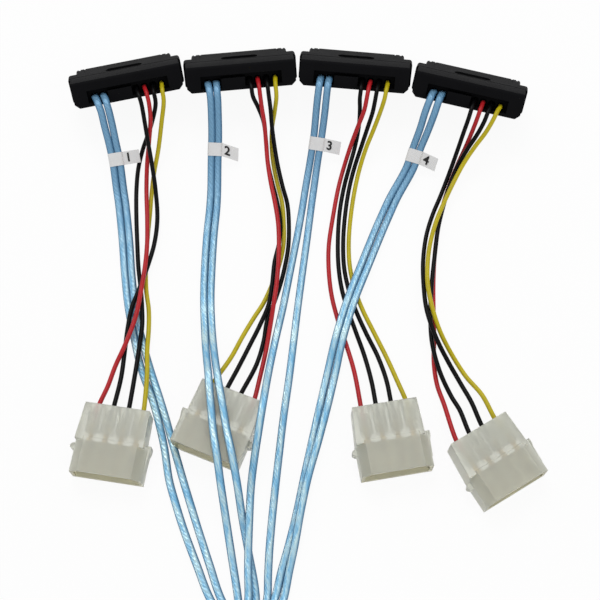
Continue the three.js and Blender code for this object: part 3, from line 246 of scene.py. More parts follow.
        [-21.2, 244.1, 0.9], [-22.4, 236.3, 0.9], [-23.9, 229.7, 0.9], [-26.1, 222.5, 0.9],
        [-28.5, 215.7, 0.9], [-29.5, 208.7, 0.9], [-31.8, 199.4, 2.4], [-36.0, 190.3, 5.0],
        [-37.2, 187.2, 5.0],
    ],
    "power_2_yellow": [
        [-26.2, 306.6, 14.4], [-26.1, 305.6, 15.4], [-26.0, 303.6, 16.3], [-25.9, 301.6, 16.7],
        [-25.6, 298.3, 14.7], [-26.2, 294.8, 10.8], [-27.3, 289.9, 6.2], [-27.5, 284.5, 2.4],
        [-26.7, 276.8, 1.2], [-25.2, 269.1, 0.9], [-23.6, 262.1, 0.9], [-22.9, 254.0, 0.9],
        [-22.9, 245.3, 0.9], [-24.3, 237.5, 0.9], [-26.8, 229.7, 0.9], [-29.8, 222.5, 0.9],
        [-33.1, 216.9, 0.9], [-36.6, 210.5, 1.0], [-40.7, 201.4, 3.0], [-45.4, 194.1, 5.0],
        [-46.7, 191.0, 5.0],
    ],
    "power_3_ground_a": [
        [5.8, 305.1, 14.4], [5.7, 304.1, 15.4], [5.4, 302.1, 16.3], [5.2, 300.1, 16.7], [4.8, 297.2, 15.1],
        [4.9, 294.2, 11.8], [4.6, 289.4, 7.9], [3.3, 283.3, 4.5], [1.3, 275.9, 3.6], [-0.8, 268.4, 1.4],
        [-2.6, 258.1, 0.9], [-3.4, 246.9, 0.9], [-3.3, 236.3, 0.9], [-2.2, 227.4, 0.9], [-0.1, 219.5, 0.9],
        [2.5, 211.3, 0.9], [5.2, 202.8, 1.0], [7.3, 192.7, 3.2], [8.0, 186.7, 5.0], [8.5, 183.5, 5.0],
    ],
    "power_3_red": [
        [8.9, 304.8, 14.4], [8.8, 303.8, 15.4], [8.3, 301.8, 16.3], [7.9, 299.9, 16.7], [7.4, 297.3, 16.3],
        [6.4, 293.0, 13.7], [4.1, 288.2, 9.8], [1.6, 282.8, 5.4], [-0.6, 276.7, 2.1], [-2.8, 268.5, 1.2],
        [-5.0, 256.5, 0.9], [-6.7, 244.5, 0.9], [-6.8, 235.1, 0.9], [-5.9, 225.5, 0.9], [-3.9, 216.5, 0.9],
        [-1.0, 206.9, 0.9], [1.5, 196.5, 2.6], [3.0, 185.9, 5.0], [3.5, 182.6, 5.0],
    ],
    "power_3_ground_b": [
        [12.0, 304.5, 14.4], [11.9, 303.5, 15.4], [11.4, 301.5, 16.3], [11.0, 299.6, 16.7],
        [10.4, 296.5, 15.6], [9.5, 292.7, 12.8], [7.7, 288.2, 9.1], [5.5, 282.6, 5.1], [3.2, 276.3, 2.2],
        [1.1, 268.1, 1.2], [-0.6, 257.3, 0.9], [-1.5, 246.1, 0.9], [-1.3, 235.9, 0.9], [0.2, 227.4, 0.9],
        [2.6, 219.5, 0.9], [5.9, 211.3, 0.9], [9.7, 202.8, 1.0], [12.3, 193.4, 3.2], [13.0, 187.6, 5.0],
        [13.6, 184.3, 5.0],
    ],
    "power_3_yellow": [
        [15.2, 304.2, 14.4], [15.1, 303.1, 15.4], [14.7, 301.2, 16.3], [14.3, 299.2, 16.7],
        [13.8, 296.7, 15.9], [12.4, 293.0, 13.1], [10.0, 287.7, 9.2], [7.3, 282.1, 5.3], [5.0, 275.6, 1.9],
        [3.1, 267.3, 1.2], [1.4, 256.5, 0.9], [0.5, 246.1, 0.9], [0.7, 236.7, 0.9], [2.2, 228.2, 0.9],
        [4.8, 220.2, 0.9], [8.6, 211.6, 0.9], [12.8, 201.9, 1.6], [16.1, 192.5, 3.8], [18.0, 188.4, 5.0],
        [18.6, 185.2, 5.0],
    ],
    "power_4_ground_a": [
        [46.7, 296.6, 14.4], [46.4, 295.7, 15.4], [45.7, 293.8, 16.3], [45.0, 291.9, 16.7],
        [43.9, 288.6, 15.4], [42.1, 284.1, 11.8], [40.0, 278.7, 7.4], [37.6, 272.7, 3.4],
        [34.2, 264.3, 1.4], [31.2, 257.3, 0.9], [28.5, 248.9, 0.9], [26.9, 239.0, 0.9], [26.5, 229.2, 2.2],
        [26.9, 218.9, 4.3], [28.6, 211.8, 4.4], [30.5, 206.4, 4.2], [33.7, 199.9, 3.0], [37.6, 192.1, 2.8],
        [40.6, 185.4, 4.0], [41.9, 179.4, 5.0], [43.6, 176.6, 5.0],
    ],
    "power_4_red": [
        [49.7, 295.8, 14.4], [49.4, 294.9, 15.4], [48.7, 293.0, 16.3], [48.0, 291.2, 16.7],
        [46.9, 288.3, 15.3], [45.4, 285.0, 11.7], [43.3, 280.9, 7.3], [40.6, 275.9, 2.8],
        [37.6, 268.6, 1.0], [34.9, 260.5, 0.9], [32.8, 251.6, 0.9], [31.1, 241.0, 0.9], [30.1, 229.4, 0.9],
        [29.7, 219.1, 0.9], [29.5, 209.4, 0.9], [29.0, 200.7, 0.9], [29.7, 192.7, 0.9], [31.6, 185.2, 2.2],
        [33.2, 174.2, 5.0], [34.9, 171.4, 5.0],
    ],
    "power_4_ground_b": [
        [52.7, 295.0, 14.4], [52.4, 294.1, 15.4], [51.6, 292.3, 16.3], [50.8, 290.4, 16.7],
        [49.5, 287.3, 15.5], [47.2, 283.7, 12.5], [43.9, 279.7, 8.7], [40.6, 274.9, 4.6],
        [37.5, 267.7, 2.8], [34.9, 259.6, 2.6], [32.6, 250.8, 2.6], [30.9, 240.2, 2.6], [29.3, 228.6, 2.6],
        [28.4, 218.4, 2.6], [28.5, 207.0, 2.6], [30.7, 196.5, 2.6], [34.1, 187.9, 2.6], [36.6, 182.7, 3.6],
        [37.6, 176.8, 5.0], [39.3, 174.0, 5.0],
    ],
    "power_4_yellow": [
        [55.9, 294.2, 14.4], [55.6, 293.2, 15.4], [54.6, 291.5, 16.3], [53.7, 289.7, 16.7],
        [52.7, 287.7, 16.3], [50.1, 283.8, 13.7], [46.3, 279.7, 10.1], [42.6, 275.0, 6.7],
        [38.7, 267.9, 5.4], [35.0, 260.2, 4.6], [31.7, 252.4, 4.3], [29.3, 244.1, 3.4], [28.2, 237.2, 3.2],
        [27.8, 228.5, 3.8], [28.8, 219.9, 4.5], [31.2, 211.5, 3.2], [34.8, 204.1, 1.4], [39.5, 195.4, 1.6],
        [44.4, 188.0, 3.6], [46.3, 182.0, 5.0], [48.0, 179.2, 5.0],
    ],
}


def spline(points, spacing):
    """Centripetal Catmull-Rom curve through millimetre points, sampled about every spacing."""
    knots = [Vector(p) for p in points]
    knots = [2 * knots[0] - knots[1]] + knots + [2 * knots[-1] - knots[-2]]
    line = []
    for before, start, end, after in zip(knots, knots[1:], knots[2:], knots[3:]):
        step_a = math.sqrt((start - before).length)
        step_b = math.sqrt((end - start).length)
        step_c = math.sqrt((after - end).length)
        leave = (start - before) / step_a - (end - before) / (step_a + step_b) + (end - start) / step_b
        arrive = (end - start) / step_b - (after - start) / (step_b + step_c) + (after - end) / step_c
        leave = leave * step_b
        arrive = arrive * step_b
        count = max(2, round((end - start).length / spacing))
        for i in range(count):
            t = i / count
            cubic = 2 * start - 2 * end + leave + arrive
            square = -3 * start + 3 * end - 2 * leave - arrive
            line.append(cubic * t**3 + square * t**2 + leave * t + start)
    line.append(knots[-2])
    return line


def arc(centre, radius, start, end, level, count=14):
    """Points of a level arc, in degrees anticlockwise from +X, without its first point."""
    points = []
    for i in range(1, count + 1):
        angle = math.radians(start + (end - start) * i / count)
        x = centre[0] + radius * math.cos(angle)
        y = centre[1] + radius * math.sin(angle)
        points.append(Vector((x, y, level)))
    return points


def straight(start, end, spacing):
    """Points of a straight stretch, without its first point."""
    count = max(1, round((end - start).length / spacing))
    return [start.lerp(end, i / count) for i in range(1, count + 1)]


def hank_line(column, level, entry):
    """The part of a signal cable inside the hank, from its entry to the mini plug's rear."""
    near = HANK_FOLD - column
    far = HANK_FOLD + column
    line = straight(entry, Vector((NEAR_FOLD[0] - near, NEAR_FOLD[1], level)), HANK_STEP)
    line += arc(NEAR_FOLD, near, 180, 360, level)
    line += straight(line[-1], Vector((FAR_FOLD[0] - far, FAR_FOLD[1], level)), HANK_STEP)
    line += arc(FAR_FOLD, far, 180, 0, level)
    line += straight(line[-1], Vector((column, BODY_REAR - 1, level)), HANK_STEP)
    return line


def oval(width, thick, power, count):
    """A rounded section: the larger the power, the squarer it is."""
    rim = []
    for i in range(count):
        angle = 2 * math.pi * (i + 0.5) / count
        c = math.cos(angle)
        s = math.sin(angle)
        across = math.copysign(abs(c) ** (2 / power), c) * width / 2
        above = math.copysign(abs(s) ** (2 / power), s) * thick / 2
        rim.append((across, above))
    return rim


def object_from(name, bm):
    """A new object from a bmesh, which is freed."""
    mesh = bpy.data.meshes.new(name)
    bm.to_mesh(mesh)
    bm.free()
    return object_of(name, mesh)


def sweep(name, line, rim):
    """A tube with a level section along a line of millimetre points, its UV map along and around it."""
    bm = bmesh.new()
    layer = bm.loops.layers.uv.new("UVMap")
    rings = []
    travel = [0.0]
    for i, centre in enumerate(line):
        if i:
            travel.append(travel[-1] + (centre - line[i - 1]).length)
        tangent = (line[min(i + 1, len(line) - 1)] - line[max(i - 1, 0)]).normalized()
        across = UP.cross(tangent).normalized()
        above = tangent.cross(across)
        rings.append([bm.verts.new((centre + across * a + above * b) * MM) for a, b in rim])
    count = len(rim)
    for i in range(len(rings) - 1):
        for j in range(count):
            k = (j + 1) % count
            face = bm.faces.new((rings[i][j], rings[i][k], rings[i + 1][k], rings[i + 1][j]))
            face.smooth = True
            corners = ((i, j), (i, j + 1), (i + 1, j + 1), (i + 1, j))
            for loop, (ring, side) in zip(face.loops, corners):
                loop[layer].uv = (travel[ring] / UV_REACH, side / count)
    bm.faces.new(list(reversed(rings[0])))
    bm.faces.new(rings[-1])
    bmesh.ops.recalc_face_normals(bm, faces=bm.faces)
    return object_from(name, bm)


def prism(outline, axis, low, high):
    """A closed solid from an outline drawn along an axis: (y, z) for x, (x, z) for y, (x, y) for z."""
    order = {"x": (2, 0, 1), "y": (0, 2, 1), "z": (0, 1, 2)}[axis]
    bm = bmesh.new()
    rows = []
    for level in (low, high):
        row = []
        for a, b in outline:
            values = (a, b, level)
            row.append(bm.verts.new([values[i] for i in order]))
        rows.append(row)
    count = len(outline)
    for i in range(count):
        j = (i + 1) % count
        bm.faces.new((rows[0][i], rows[0][j], rows[1][j], rows[1][i]))
    bm.faces.new(rows[0])
    bm.faces.new(rows[1])
    bmesh.ops.recalc_face_normals(bm, faces=bm.faces)
    return object_from("form", bm)


def rounded(a0, a1, b0, b1, radius, steps=4):
    """Outline of a rectangle with round corners."""
    outline = []
    corners = ((a1, b0, -90), (a1, b1, 0), (a0, b1, 90), (a0, b0, 180))
    for a, b, start in corners:
        centre_a = a - math.copysign(radius, a - (a0 + a1) / 2)
        centre_b = b - math.copysign(radius, b - (b0 + b1) / 2)
        for i in range(steps + 1):
            angle = math.radians(start + 90 * i / steps)
            outline.append((centre_a + radius * math.cos(angle), centre_b + radius * math.sin(angle)))
    return outline


def block(x0, x1, y0, y1, z0, z1):
    """A box with sharp edges."""
    return prism([(x0, y0), (x1, y0), (x1, y1), (x0, y1)], "z", z0, z1)


def rod(x, z, radius, y0, y1, sides=20):
    """A round bar along y."""
    circle = [2 * math.pi * i / sides for i in range(sides)]
    return prism([(x + radius * math.cos(t), z + radius * math.sin(t)) for t in circle], "y", y0, y1)


def settle(form):
    """Apply a form's modifiers, leaving a plain mesh."""
    bpy.context.view_layer.update()
    graph = bpy.context.evaluated_depsgraph_get()
    mesh = bpy.data.meshes.new_from_object(form.evaluated_get(graph), depsgraph=graph)
    form.modifiers.clear()
    form.data = mesh
    return form


def combine(form, others, operation):
    """The form after a boolean with each of the others, which are used up."""
    for other in others:
        modifier = form.modifiers.new(operation, "BOOLEAN")
        modifier.operation = operation
        modifier.solver = "EXACT"
        modifier.object = other
        settle(form)
        bpy.data.objects.remove(other)
    return form


def fuse(form, *others):
    return combine(form, others, "UNION")


def carve(form, *others):
    return combine(form, others, "DIFFERENCE")


def soften(form, width):
    """Round the sharp edges of a moulding and keep its flat faces flat."""
    bm = bmesh.new()
    bm.from_mesh(form.data)
    bmesh.ops.remove_doubles(bm, verts=bm.verts, dist=WELD_DISTANCE)
    bmesh.ops.dissolve_limit(bm, angle_limit=math.radians(FLAT_ANGLE), verts=bm.verts, edges=bm.edges)
    for face in bm.faces:
        face.smooth = True
    bm.to_mesh(form.data)
    bm.free()
    modifier = form.modifiers.new("round", "BEVEL")
    modifier.width = width
    modifier.segments = ROUNDING_STEPS
    modifier.limit_method = "ANGLE"
    modifier.angle_limit = math.radians(SHARP_ANGLE)
    modifier.harden_normals = True
    modifier.use_clamp_overlap = True
    return settle(form)


def piece_from(form, name, matrix, finish):
    """A finished piece at the origin, its place in its mesh."""
    mesh = form.data.copy()
    mesh.name = name
    mesh.transform(matrix)
    mesh.materials.clear()
    mesh.materials.append(finish)
    piece = object_of(name, mesh)
    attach(piece, BODY)
    return piece


def discard(*forms):
    """Remove forms whose pieces have been made."""
    for form in forms:
        bpy.data.objects.remove(form)


def placing(x, y, turn):
    """A place on the table in millimetres and a turn in degrees."""
    return Matrix.Translation(Vector((x, y, 0)) * MM) @ Matrix.Rotation(math.radians(turn), 4, "Z")


def drive_matrix(port):
    x, y, turn = DRIVES[port]
    tip = Matrix.Rotation(math.radians(-DRIVE_TILT), 4, "X")
    return placing(x, y, turn) @ tip @ Matrix.Scale(MM, 4)


def plug_matrix(port):
    x, y, turn, flipped = POWER_PLUGS[port]
    matrix = placing(x, y, turn)
    if flipped:
        lift = Matrix.Translation((0, 0, PLUG_HEIGHT * MM))
        matrix = matrix @ lift @ Matrix.Rotation(math.pi, 4, "Y")
    return matrix @ Matrix.Scale(MM, 4)


def repeat_tree():
    """Node tree that repeats its input mesh in a straight row."""
    tree = bpy.data.node_groups.new("row of copies", "GeometryNodeTree")
    face = tree.interface
    face.new_socket("Geometry", in_out="INPUT", socket_type="NodeSocketGeometry")
    face.new_socket("Count", in_out="INPUT", socket_type="NodeSocketInt")
    face.new_socket("Step", in_out="INPUT", socket_type="NodeSocketVector")
    face.new_socket("Finish", in_out="INPUT", socket_type="NodeSocketMaterial")
    face.new_socket("Geometry", in_out="OUTPUT", socket_type="NodeSocketGeometry")
    nodes = tree.nodes
    source = nodes.new("NodeGroupInput")
    row = nodes.new("GeometryNodeMeshLine")
    row.mode = "OFFSET"
    copies = nodes.new("GeometryNodeInstanceOnPoints")
    real = nodes.new("GeometryNodeRealizeInstances")
    paint = nodes.new("GeometryNodeSetMaterial")
    result = nodes.new("NodeGroupOutput")
    link = tree.links.new
    link(source.outputs["Count"], row.inputs["Count"])
    link(source.outputs["Step"], row.inputs["Offset"])
    link(row.outputs["Mesh"], copies.inputs["Points"])
    link(source.outputs["Geometry"], copies.inputs["Instance"])
    link(copies.outputs["Instances"], real.inputs["Geometry"])
    link(real.outputs["Geometry"], paint.inputs["Geometry"])
    link(source.outputs["Finish"], paint.inputs["Material"])
    link(paint.outputs["Geometry"], result.inputs["Geometry"])
    return tree


ROW = repeat_tree()


def row_of(form, count, step, finish):
    """The form repeated count times, as one plain mesh."""
    modifier = form.modifiers.new("row", "NODES")
    modifier.node_group = ROW
    sockets = {s.name: s.identifier for s in ROW.interface.items_tree if s.in_out == "INPUT"}
    modifier[sockets["Count"]] = count
    modifier[sockets["Step"]] = step
    modifier[sockets["Finish"]] = finish
    return settle(form)


# Materials.
def node(tree, kind, **inputs):
    """A shader node with the values of its named inputs."""
    made = tree.nodes.new(kind)
    for name, value in inputs.items():
        made.inputs[name.replace("_", " ")].default_value = value
    return made


def maths(tree, operation, *terms):
    """The output of a math node on its terms, each a number or another node's output."""
    made = tree.nodes.new("ShaderNodeMath")
    made.operation = operation
    for socket, term in zip(made.inputs, terms):
        if isinstance(term, float):
            socket.default_value = term
        else:
            tree.links.new(term, socket)
    return made.outputs[0]


def blend(tree, factor, first, second):
    """The output of a colour mix by a factor, its colours typed or another node's output."""
    made = tree.nodes.new("ShaderNodeMix")
    made.data_type = "RGBA"
    tree.links.new(factor, made.inputs["Factor"])
    for label, colour in (("A", first), ("B", second)):
        if isinstance(colour, tuple):
            made.inputs[label].default_value = (*colour, 1)
        else:
            tree.links.new(colour, made.inputs[label])
    return made.outputs["Result"]


def group_of(name, inputs, outputs):
    """An empty shader node group with its sockets, and its input and output nodes."""
    tree = bpy.data.node_groups.new(name, "ShaderNodeTree")
    for label, kind, value in inputs:
        socket = tree.interface.new_socket(label, in_out="INPUT", socket_type=kind)
        socket.default_value = value
    for label, kind in outputs:
        tree.interface.new_socket(label, in_out="OUTPUT", socket_type=kind)
    return tree, tree.nodes.new("NodeGroupInput"), tree.nodes.new("NodeGroupOutput")


def grain_group():
    """Fine moulded grain with slow clouding: a shade, a roughness and a height."""
    floats = [("Size", "NodeSocketFloat", 4000.0), ("Clouding", "NodeSocketFloat", 0.2)]
    floats += [("Roughness", "NodeSocketFloat", 0.45), ("Spread", "NodeSocketFloat", 0.1)]
    colours = [("Colour", "NodeSocketColor", (0.5, 0.5, 0.5, 1))]
    outputs = [("Colour", "NodeSocketColor"), ("Roughness", "NodeSocketFloat"), ("Height", "NodeSocketFloat")]
    tree, source, result = group_of("moulded grain", colours + floats, outputs)
    link = tree.links.new
    place = tree.nodes.new("ShaderNodeTexCoord")
    fine = node(tree, "ShaderNodeTexNoise", Detail=3.0, Roughness=0.6)
    link(place.outputs["Object"], fine.inputs["Vector"])
    link(source.outputs["Size"], fine.inputs["Scale"])
    slow = node(tree, "ShaderNodeTexNoise", Scale=160.0, Detail=2.0)
    link(place.outputs["Object"], slow.inputs["Vector"])
    centred = maths(tree, "SUBTRACT", slow.outputs["Fac"], 0.5)
    cloud = maths(tree, "MULTIPLY_ADD", centred, source.outputs["Clouding"], 1.0)
    shade = tree.nodes.new("ShaderNodeVectorMath")
    shade.operation = "SCALE"
    link(source.outputs["Colour"], shade.inputs[0])
    link(cloud, shade.inputs["Scale"])
    rough = maths(tree, "MULTIPLY_ADD", centred, source.outputs["Spread"], source.outputs["Roughness"])
    link(shade.outputs[0], result.inputs["Colour"])
    link(rough, result.inputs["Roughness"])
    link(fine.outputs["Fac"], result.inputs["Height"])
    return tree


def wrap_group():
    """Creases of a wound film, from the UV map: a height, a mask of painted glints (painted highlights), a
    mask of painted shade on the edges and sides, and the way along.
    """
    inputs = [("Pitch", "NodeSocketFloat", 2.6), ("Slant", "NodeSocketFloat", 1.6)]
    inputs += [("Break up", "NodeSocketFloat", 1.5)]
    outputs = [(label, "NodeSocketFloat") for label in ("Height", "Painted glint", "Along", "Painted edge shade")]
    tree, source, result = group_of("wound film", inputs, outputs)
    link = tree.links.new
    place = tree.nodes.new("ShaderNodeUVMap")
    place.uv_map = "UVMap"
    split = tree.nodes.new("ShaderNodeSeparateXYZ")
    link(place.outputs["UV"], split.inputs[0])
    along = split.outputs["X"]
    around = split.outputs["Y"]
    slant = maths(tree, "MULTIPLY", around, source.outputs["Slant"])
    wound = maths(tree, "ADD", maths(tree, "MULTIPLY", along, source.outputs["Pitch"]), slant)
    twist = tree.nodes.new("ShaderNodeCombineXYZ")
    link(wound, twist.inputs["X"])
    link(around, twist.inputs["Y"])
    wave = node(tree, "ShaderNodeTexWave", Scale=2.0, Distortion=4.0, Detail=3.0, Detail_Scale=2.2)
    link(twist.outputs[0], wave.inputs["Vector"])
    stretch = tree.nodes.new("ShaderNodeCombineXYZ")
    link(wound, stretch.inputs["X"])
    link(maths(tree, "MULTIPLY", around, 6.0), stretch.inputs["Y"])
    patch = node(tree, "ShaderNodeTexNoise", Detail=2.0, Roughness=0.6)
    link(stretch.outputs[0], patch.inputs["Vector"])
    link(source.outputs["Break up"], patch.inputs["Scale"])
    # Painted highlight: bright patches of the crease noise become the mask of painted glints.
    painted_glint = node(tree, "ShaderNodeMapRange", From_Min=0.4, From_Max=0.62)
    link(patch.outputs["Fac"], painted_glint.inputs["Value"])
    height = maths(tree, "MULTIPLY_ADD", wave.outputs["Fac"], 0.45, patch.outputs["Fac"])
    # Painted shade: the film is darkened away from its top, on its edges and sides.
    from_top = maths(tree, "ABSOLUTE", maths(tree, "SUBTRACT", around, 0.25))
    edge = node(tree, "ShaderNodeMapRange", From_Min=0.05, From_Max=0.15)
    link(from_top, edge.inputs["Value"])
    link(height, result.inputs["Height"])
    link(painted_glint.outputs["Result"], result.inputs["Painted glint"])
    link(along, result.inputs["Along"])
    link(edge.outputs["Result"], result.inputs["Painted edge shade"])
    return tree


GRAIN = grain_group()
WRAP = wrap_group()


def blank(name):
    """A new material, its node tree and its shader."""
    material = bpy.data.materials.new(name)
    material.use_nodes = True
    return material, material.node_tree, material.node_tree.nodes["Principled BSDF"]


def bump(tree, shader, height, strength, distance):
    relief = node(tree, "ShaderNodeBump", Strength=strength, Distance=distance)
    tree.links.new(height, relief.inputs["Height"])
    tree.links.new(relief.outputs["Normal"], shader.inputs["Normal"])


def moulded(name, colour, rough, size=4000.0, clouding=0.3, relief=0.25, **sockets):
    """A material with moulded grain; sockets are set directly on the shader."""
    material, tree, shader = blank(name)
    grain = tree.nodes.new("ShaderNodeGroup")
    grain.node_tree = GRAIN
    grain.inputs["Colour"].default_value = (*colour, 1)
    grain.inputs["Roughness"].default_value = rough
    grain.inputs["Spread"].default_value = 0.12
    grain.inputs["Size"].default_value = size
    grain.inputs["Clouding"].default_value = clouding
    tree.links.new(grain.outputs["Colour"], shader.inputs["Base Color"])
    tree.links.new(grain.outputs["Roughness"], shader.inputs["Roughness"])
    bump(tree, shader, grain.outputs["Height"], relief, 0.00002)
    for label, value in sockets.items():
        shader.inputs[label.replace("_", " ")].default_value = value
    return material


FILM_NEAR = (0.19, 0.4, 0.61)
FILM_FAR = (0.24, 0.58, 0.87)
# The glint colour below is a painted highlight.
FILM_PAINTED_HIGHLIGHT = (0.7, 0.95, 1.0)
# The edge colour below is painted shade on the film's edges and sides.
FILM_PAINTED_EDGE_SHADE = (0.06, 0.19, 0.35)


def film_material():
    """Blue film over foil with creases in relief: darker and plain near the receptacles, lighter further
    along, where painted highlights (glints) are mixed in; painted shade darkens its edges and sides.
    """
    material, tree, shader = blank("blue film over foil")
    link = tree.links.new
    wrap = tree.nodes.new("ShaderNodeGroup")
    wrap.node_tree = WRAP
    wrap.inputs["Pitch"].default_value = 0.9
    wrap.inputs["Slant"].default_value = 1.6
    wrap.inputs["Break up"].default_value = 1.5
    far_along = node(tree, "ShaderNodeMapRange", From_Min=3.5, From_Max=10.0)
    link(wrap.outputs["Along"], far_along.inputs["Value"])
    base = blend(tree, far_along.outputs["Result"], FILM_NEAR, FILM_FAR)
    # Painted highlight: glints are mixed into the colour further along the film.
    painted_glint = maths(tree, "MULTIPLY", wrap.outputs["Painted glint"], far_along.outputs["Result"])
    with_painted_glint = blend(tree, painted_glint, base, FILM_PAINTED_HIGHLIGHT)
    # Painted shade: the edge colour darkens the film's edges and sides.
    edge = maths(tree, "MULTIPLY", wrap.outputs["Painted edge shade"], 0.9)
    link(blend(tree, edge, with_painted_glint, FILM_PAINTED_EDGE_SHADE), shader.inputs["Base Color"])
    rough = node(tree, "ShaderNodeMapRange", To_Min=0.42, To_Max=0.22)
    link(painted_glint, rough.inputs["Value"])
    link(rough.outputs["Result"], shader.inputs["Roughness"])
    shader.inputs["Metallic"].default_value = 0.25
    bump(tree, shader, wrap.outputs["Height"], 0.9, 0.00022)
    return material


def brushed(name, colour, rough, stretch):
    """Plated metal with fine marks along one direction."""
    material, tree, shader = blank(name)
    place = tree.nodes.new("ShaderNodeTexCoord")
    mapping = tree.nodes.new("ShaderNodeMapping")
    mapping.inputs["Scale"].default_value = stretch
    marks = node(tree, "ShaderNodeTexNoise", Scale=400.0, Detail=4.0)
    link = tree.links.new
    link(place.outputs["Object"], mapping.inputs["Vector"])
    link(mapping.outputs["Vector"], marks.inputs["Vector"])
    tone = blend(tree, marks.outputs["Fac"], tuple(c * 0.8 for c in colour), colour)
    link(tone, shader.inputs["Base Color"])
    spread = node(tree, "ShaderNodeMapRange", To_Min=rough - 0.08, To_Max=rough + 0.12)
    link(marks.outputs["Fac"], spread.inputs["Value"])
    link(spread.outputs["Result"], shader.inputs["Roughness"])
    shader.inputs["Metallic"].default_value = 1.0
    bump(tree, shader, marks.outputs["Fac"], 0.2, 0.00002)
    return material


BLACK = moulded("black moulding", (0.008, 0.008, 0.009), 0.42, IOR=1.05)


def insulation(kind, colour, sheen):
    """Smooth vinyl of a power wire."""
    grain = {"size": 1500.0, "relief": 0.12}
    return moulded(f"{kind} insulation", colour, 0.34, **grain, Specular_IOR_Level=sheen)


INSULATION = {
    "red": insulation("red", (0.5, 0.014, 0.02), 0.3),
    "ground": insulation("black", (0.002, 0.002, 0.0024), 0.14),
    "yellow": insulation("yellow", (0.56, 0.46, 0.008), 0.3),
}
FILM = film_material()
NYLON = moulded(
    "milky nylon", (0.87, 0.88, 0.79), 0.42, size=900.0, clouding=0.12, relief=0.1, Transmission_Weight=0.58
)
# Painted shade: a darker olive nylon for the cavity faces behind the plug's mouth.
NYLON_PAINTED_SHADE = moulded(
    "nylon with painted shade in the mouth", (0.6, 0.57, 0.38), 0.4, size=900.0, relief=0.1, Transmission_Weight=0.5
)
PAPER = moulded("label film", (0.82, 0.82, 0.82), 0.55, size=2500.0, clouding=0.1, relief=0.1)
INK = moulded("print", (0.008, 0.008, 0.008), 0.6, size=2500.0, clouding=0.1, relief=0.05)
GOLD = brushed("gold plate", (0.83, 0.6, 0.25), 0.3, (1, 8, 8))
STEEL = brushed("plated steel", (0.62, 0.62, 0.63), 0.32, (8, 1, 8))
BOARD = moulded("solder mask", (0.012, 0.13, 0.05), 0.35, size=700.0, clouding=0.5, relief=0.15)
TIE = moulded("black nylon tie", (0.012, 0.012, 0.012), 0.4, relief=0.15)


# Cords come first: eight flat signal cables and sixteen power wires.
def into_cover(line):
    """The line with a straight stretch added where it enters the receptacle."""
    return [line[0] - (line[1] - line[0]).normalized() * INTO_COVER] + line


def into_plug(points, port):
    """A wire's points, leading straight into its cell in the power plug."""
    turn = math.radians(POWER_PLUGS[port][2])
    rim = Vector(points[-1])
    inside = rim + Vector((math.sin(turn), -math.cos(turn), 0)) * INTO_PLUG
    return points[:-2] + [rim, inside]


def length_of(line):
    """Length in metres of a line of millimetre points."""
    return sum((b - a).length for a, b in zip(line, line[1:])) * MM


FILM_WIDTH = 2.6
FILM_RIM = oval(FILM_WIDTH, SIGNAL_THICK, 3, 20)
WIRE_RIM = oval(WIRE_DIAMETER, WIRE_DIAMETER, 2, 12)
signals = {}
for name, points in ROUTES.items():
    words = name.split("_")
    port = int(words[1])
    if words[0] == "signal":
        column = -HANK_COLUMN if words[2] == "a" else HANK_COLUMN
        line = spline(points, LINE_STEP)
        line += hank_line(column, HANK_LAYERS[port], line[-1])
        line = into_cover(line)
        piece = sweep(f"cable_{port}_{words[2]}", line, FILM_RIM)
        piece.data.materials.append(FILM)
        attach(piece, BODY)
        signals[name] = (piece, line)
    else:
        line = into_cover(spline(into_plug(points, port), LINE_STEP))
        piece = sweep("_".join(["wire", words[1], *words[2:]]), line, WIRE_RIM)
        piece.data.materials.append(INSULATION[words[2]])
        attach(piece, BODY)
        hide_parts(name)


# Drive receptacle, in its own millimetre frame: front at y 0, rear at -DRIVE_DEPTH.
HOUSING_HALF = 20.905
TONGUE_HALF = 18.005
SLOT_HALF = 16.705
COVER_HALF = 20.005
SPLIT = -11.5
TONGUE_REACH = 6.5
TONGUE_FOOT = 1.4
SLOT_FLOOR = 3.2
SLOT_ROOF = 7.6
SLOT_DEPTH = 8
KEY_PLACE = -5.08
KEY_HALF = 0.6
RECESS_HALF = 14.8
RECESS_TOP = 5.8
RECESS_LIP = 1.2
RECESS_POST = (-7.4, 1.4)
RECESS_POST_TOP = 4.6
COVER_CHAMFER = 1.6
RECESS_FLOOR = -17.7
GUIDE_PLACE = 19.455
NICK_PLACE = 16.6
STEP_PLACE = 14.6
CONTACT_RUNS = ((0, 7), (9, 15))
CONTACT_HALF = 0.33


